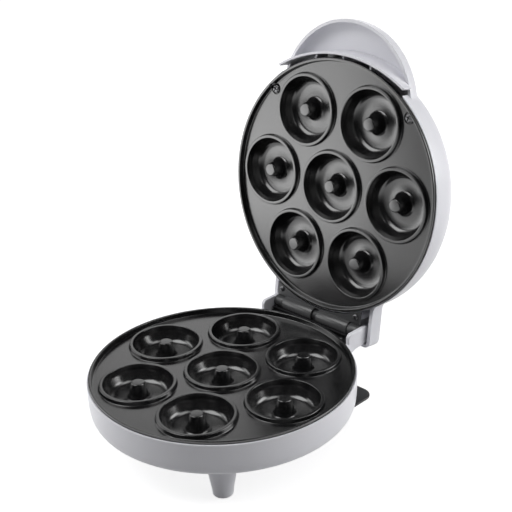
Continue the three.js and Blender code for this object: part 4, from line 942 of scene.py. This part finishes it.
def build_lamps():
    """Two windows that stand a little proud of the lid's top, held by a flange inside."""
    flange = DOME_TOP - 3
    profile = rounded([
        (0, flange), (LENS_FLANGE_R, flange, 0.2), (LENS_FLANGE_R, flange + 0.25), (LENS_R, flange + 0.25),
        (LENS_R, DOME_TOP + 0.5, 0.9), (2.2, DOME_TOP + 0.86, 1.6), (0, DOME_TOP + 0.9),
    ], 5)
    for x, name, slot, material in ((-LAMP_X, "power_lens", "red_lens", RED),
                                    (LAMP_X, "ready_lens", "green_lens", GREEN)):
        lens = raw(name + "_detail", lathe(profile, 64, (x, LAMP_Y)))
        finish_piece(lens, "lid", [name], material)


# ------------------------------------------------------------------ studio, in metres unless marked
FLOOR_LIFT = 0.80                # the floor's own glow near the object; further out it is 1
FLOOR_REACH = 60.0
MIDDLE = (0.0, 0.0, 0.12)
LIGHTS = [                       # name, place, what it points at, width and height, watts
    ("left_panel", (-0.474, -0.262, 0.18), (-0.103, 0.109, 0.18), (0.42, 0.34), 1.08),
    ("left_soft_box", (-1.0, -0.45, 0.75), MIDDLE, (0.75, 0.6), 0.8),
    ("right_soft_box", (0.92, 0.80, 0.55), MIDDLE, (0.8, 0.8), 10.4),
    ("right_top_soft_box", (0.62, 0.20, 1.05), MIDDLE, (0.6, 0.6), 3.0),
    ("top_soft_box", (-0.40, -0.60, 1.10), MIDDLE, (0.9, 0.8), 8.8),
    ("back_panel", (-0.75, 0.85, 0.62), MIDDLE, (0.9, 0.6), 1.8),
]
VIEW_TURN = -45                  # turns the photo's line of sight, seen from above, onto +Y
CAMERA_AZIMUTH, CAMERA_ELEVATION, CAMERA_ROLL = 45.125, 23.79585, -1.78349
CAMERA_BACK, CAMERA_ASIDE, CAMERA_ABOVE, CAMERA_DROP = 765.515, 24.555, 82.04, 0.72    # millimetres
SENSOR_WIDTH, LENS = 36, 73.97597109375    # millimetres
LENS_SHIFT_X, LENS_SHIFT_Y = 0.000390625, -0.00236328125


def away_from_camera(nodes, links, vector):
    """How far a place or direction lies along the photo's level line of sight."""
    turned = nodes.new("ShaderNodeMapping")
    turned.inputs["Rotation"].default_value = (0, 0, math.radians(VIEW_TURN))
    links.new(vector, turned.inputs["Vector"])
    split = nodes.new("ShaderNodeSeparateXYZ")
    links.new(turned.outputs["Vector"], split.inputs["Vector"])
    return split.outputs["Y"]


def white_to(nodes, links, share):
    """One for camera rays, the given share for glossy and transmission rays, nothing for the rest."""
    rays = nodes.new("ShaderNodeLightPath").outputs
    mirrored = combined(nodes, links, "MAXIMUM", rays["Is Glossy Ray"], rays["Is Transmission Ray"])
    mirrored = combined(nodes, links, "MULTIPLY", mirrored, share)
    return combined(nodes, links, "MAXIMUM", rays["Is Camera Ray"], mirrored)


def paper():
    """Glows to the camera, a little less near the object; to what mirrors it, less in front too."""
    material, nodes, links, shader = new_material("studio_paper")
    place = nodes.new("ShaderNodeTexCoord").outputs["Object"]
    weave = noise(nodes, links, place, scale=90.0)
    tint = ramp(nodes, links, weave, [(0.3, (0.40, 0.40, 0.404)), (0.7, (0.42, 0.42, 0.424))])
    links.new(tint, shader.inputs["Base Color"])
    shader.inputs["Roughness"].default_value = 0.9
    distance = nodes.new("ShaderNodeVectorMath")
    distance.operation = "LENGTH"
    links.new(place, distance.inputs[0])
    around = spread(nodes, links, distance.outputs["Value"], FLOOR_LIFT, 1.0, 0.15, 0.7)
    ahead = spread(nodes, links, away_from_camera(nodes, links, place), 0.15, 1.0, -0.75, -0.25)
    glow = combined(nodes, links, "MULTIPLY", white_to(nodes, links, ahead), around)
    shader.inputs["Emission Color"].default_value = (1, 1, 1, 1)
    links.new(glow, shader.inputs["Emission Strength"])
    return material


def build_floor():
    corners = [(-1, -1), (1, -1), (1, 1), (-1, 1)]
    mesh = bpy.data.meshes.new("studio_floor")
    mesh.from_pydata([(x * FLOOR_REACH, y * FLOOR_REACH, 0) for x, y in corners], [], [(0, 1, 2, 3)])
    floor = bpy.data.objects.new("studio_floor", mesh)
    bpy.context.scene.collection.objects.link(floor)
    mesh.materials.append(paper())


def build_lights():
    for name, place, target, size, power in LIGHTS:
        data = bpy.data.lights.new(name, "AREA")
        data.shape = "RECTANGLE"
        data.size, data.size_y = size
        data.energy = power
        lamp = bpy.data.objects.new(name, data)
        lamp.location = place
        lamp.rotation_euler = (Vector(target) - Vector(place)).to_track_quat("-Z", "Y").to_euler()
        bpy.context.scene.collection.objects.link(lamp)


def build_world():
    """White to the camera; to what mirrors it, white only low down behind the object; dim elsewhere."""
    world = bpy.data.worlds.new("studio")
    bpy.context.scene.world = world
    world.use_nodes = True
    nodes, links = world.node_tree.nodes, world.node_tree.links
    direction = nodes.new("ShaderNodeTexCoord").outputs["Generated"]
    split = nodes.new("ShaderNodeSeparateXYZ")
    links.new(direction, split.inputs["Vector"])
    height = split.outputs["Z"]
    dim = nodes["Background"]
    sky = ramp(nodes, links, height, [(0.0, (0.022, 0.022, 0.0225)), (1.0, (0.055, 0.055, 0.056))])
    links.new(sky, dim.inputs["Color"])
    low = spread(nodes, links, height, 1.0, 0.0, 0.08, 0.20)
    behind = spread(nodes, links, away_from_camera(nodes, links, direction), 0.0, 1.0, 0.3, 0.8)
    white = nodes.new("ShaderNodeBackground")
    white.inputs["Color"].default_value = (1, 1, 1, 1)
    either = nodes.new("ShaderNodeMixShader")
    share = combined(nodes, links, "MULTIPLY", low, behind)
    links.new(white_to(nodes, links, share), either.inputs["Fac"])
    links.new(dim.outputs["Background"], either.inputs[1])
    links.new(white.outputs["Background"], either.inputs[2])
    links.new(either.outputs["Shader"], nodes["World Output"].inputs["Surface"])


def build_camera():
    """The camera that fits the photo: its axes from three angles, its place measured along them."""
    azimuth, elevation, roll = [math.radians(a) for a in (CAMERA_AZIMUTH, CAMERA_ELEVATION, CAMERA_ROLL)]
    back = Vector((math.sin(azimuth) * math.cos(elevation), -math.cos(azimuth) * math.cos(elevation),
                   math.sin(elevation)))
    right = Vector((math.cos(azimuth), math.sin(azimuth), 0))
    up = back.cross(right)
    across = right * math.cos(roll) + up * math.sin(roll)
    upward = up * math.cos(roll) - right * math.sin(roll)
    place = back * CAMERA_BACK + across * CAMERA_ASIDE + upward * CAMERA_ABOVE
    place += Vector((0, 0, -CAMERA_DROP)) + SHIFT
    data = bpy.data.cameras.new("camera")
    data.sensor_width, data.lens = SENSOR_WIDTH, LENS
    data.shift_x, data.shift_y = LENS_SHIFT_X, LENS_SHIFT_Y
    data.clip_start, data.clip_end = 0.05, 200
    camera = bpy.data.objects.new("camera", data)
    turn = Matrix((across, upward, back)).transposed().to_4x4()
    camera.matrix_world = Matrix.Translation(place * MM) @ turn
    bpy.context.scene.collection.objects.link(camera)
    bpy.context.scene.camera = camera


bpy.context.scene.view_settings.view_transform = "Standard"
build_camera()
build_lights()
build_world()
build_floor()
dress_frame()
build_base_shell()
build_plates()
build_lid_shell()
build_lip()
build_feet()
build_cord_wrap()
build_gland()
build_cradle()
build_bushes()
build_pin()
build_cover()
build_screws()
build_lamps()

bpy.context.view_layer.update()
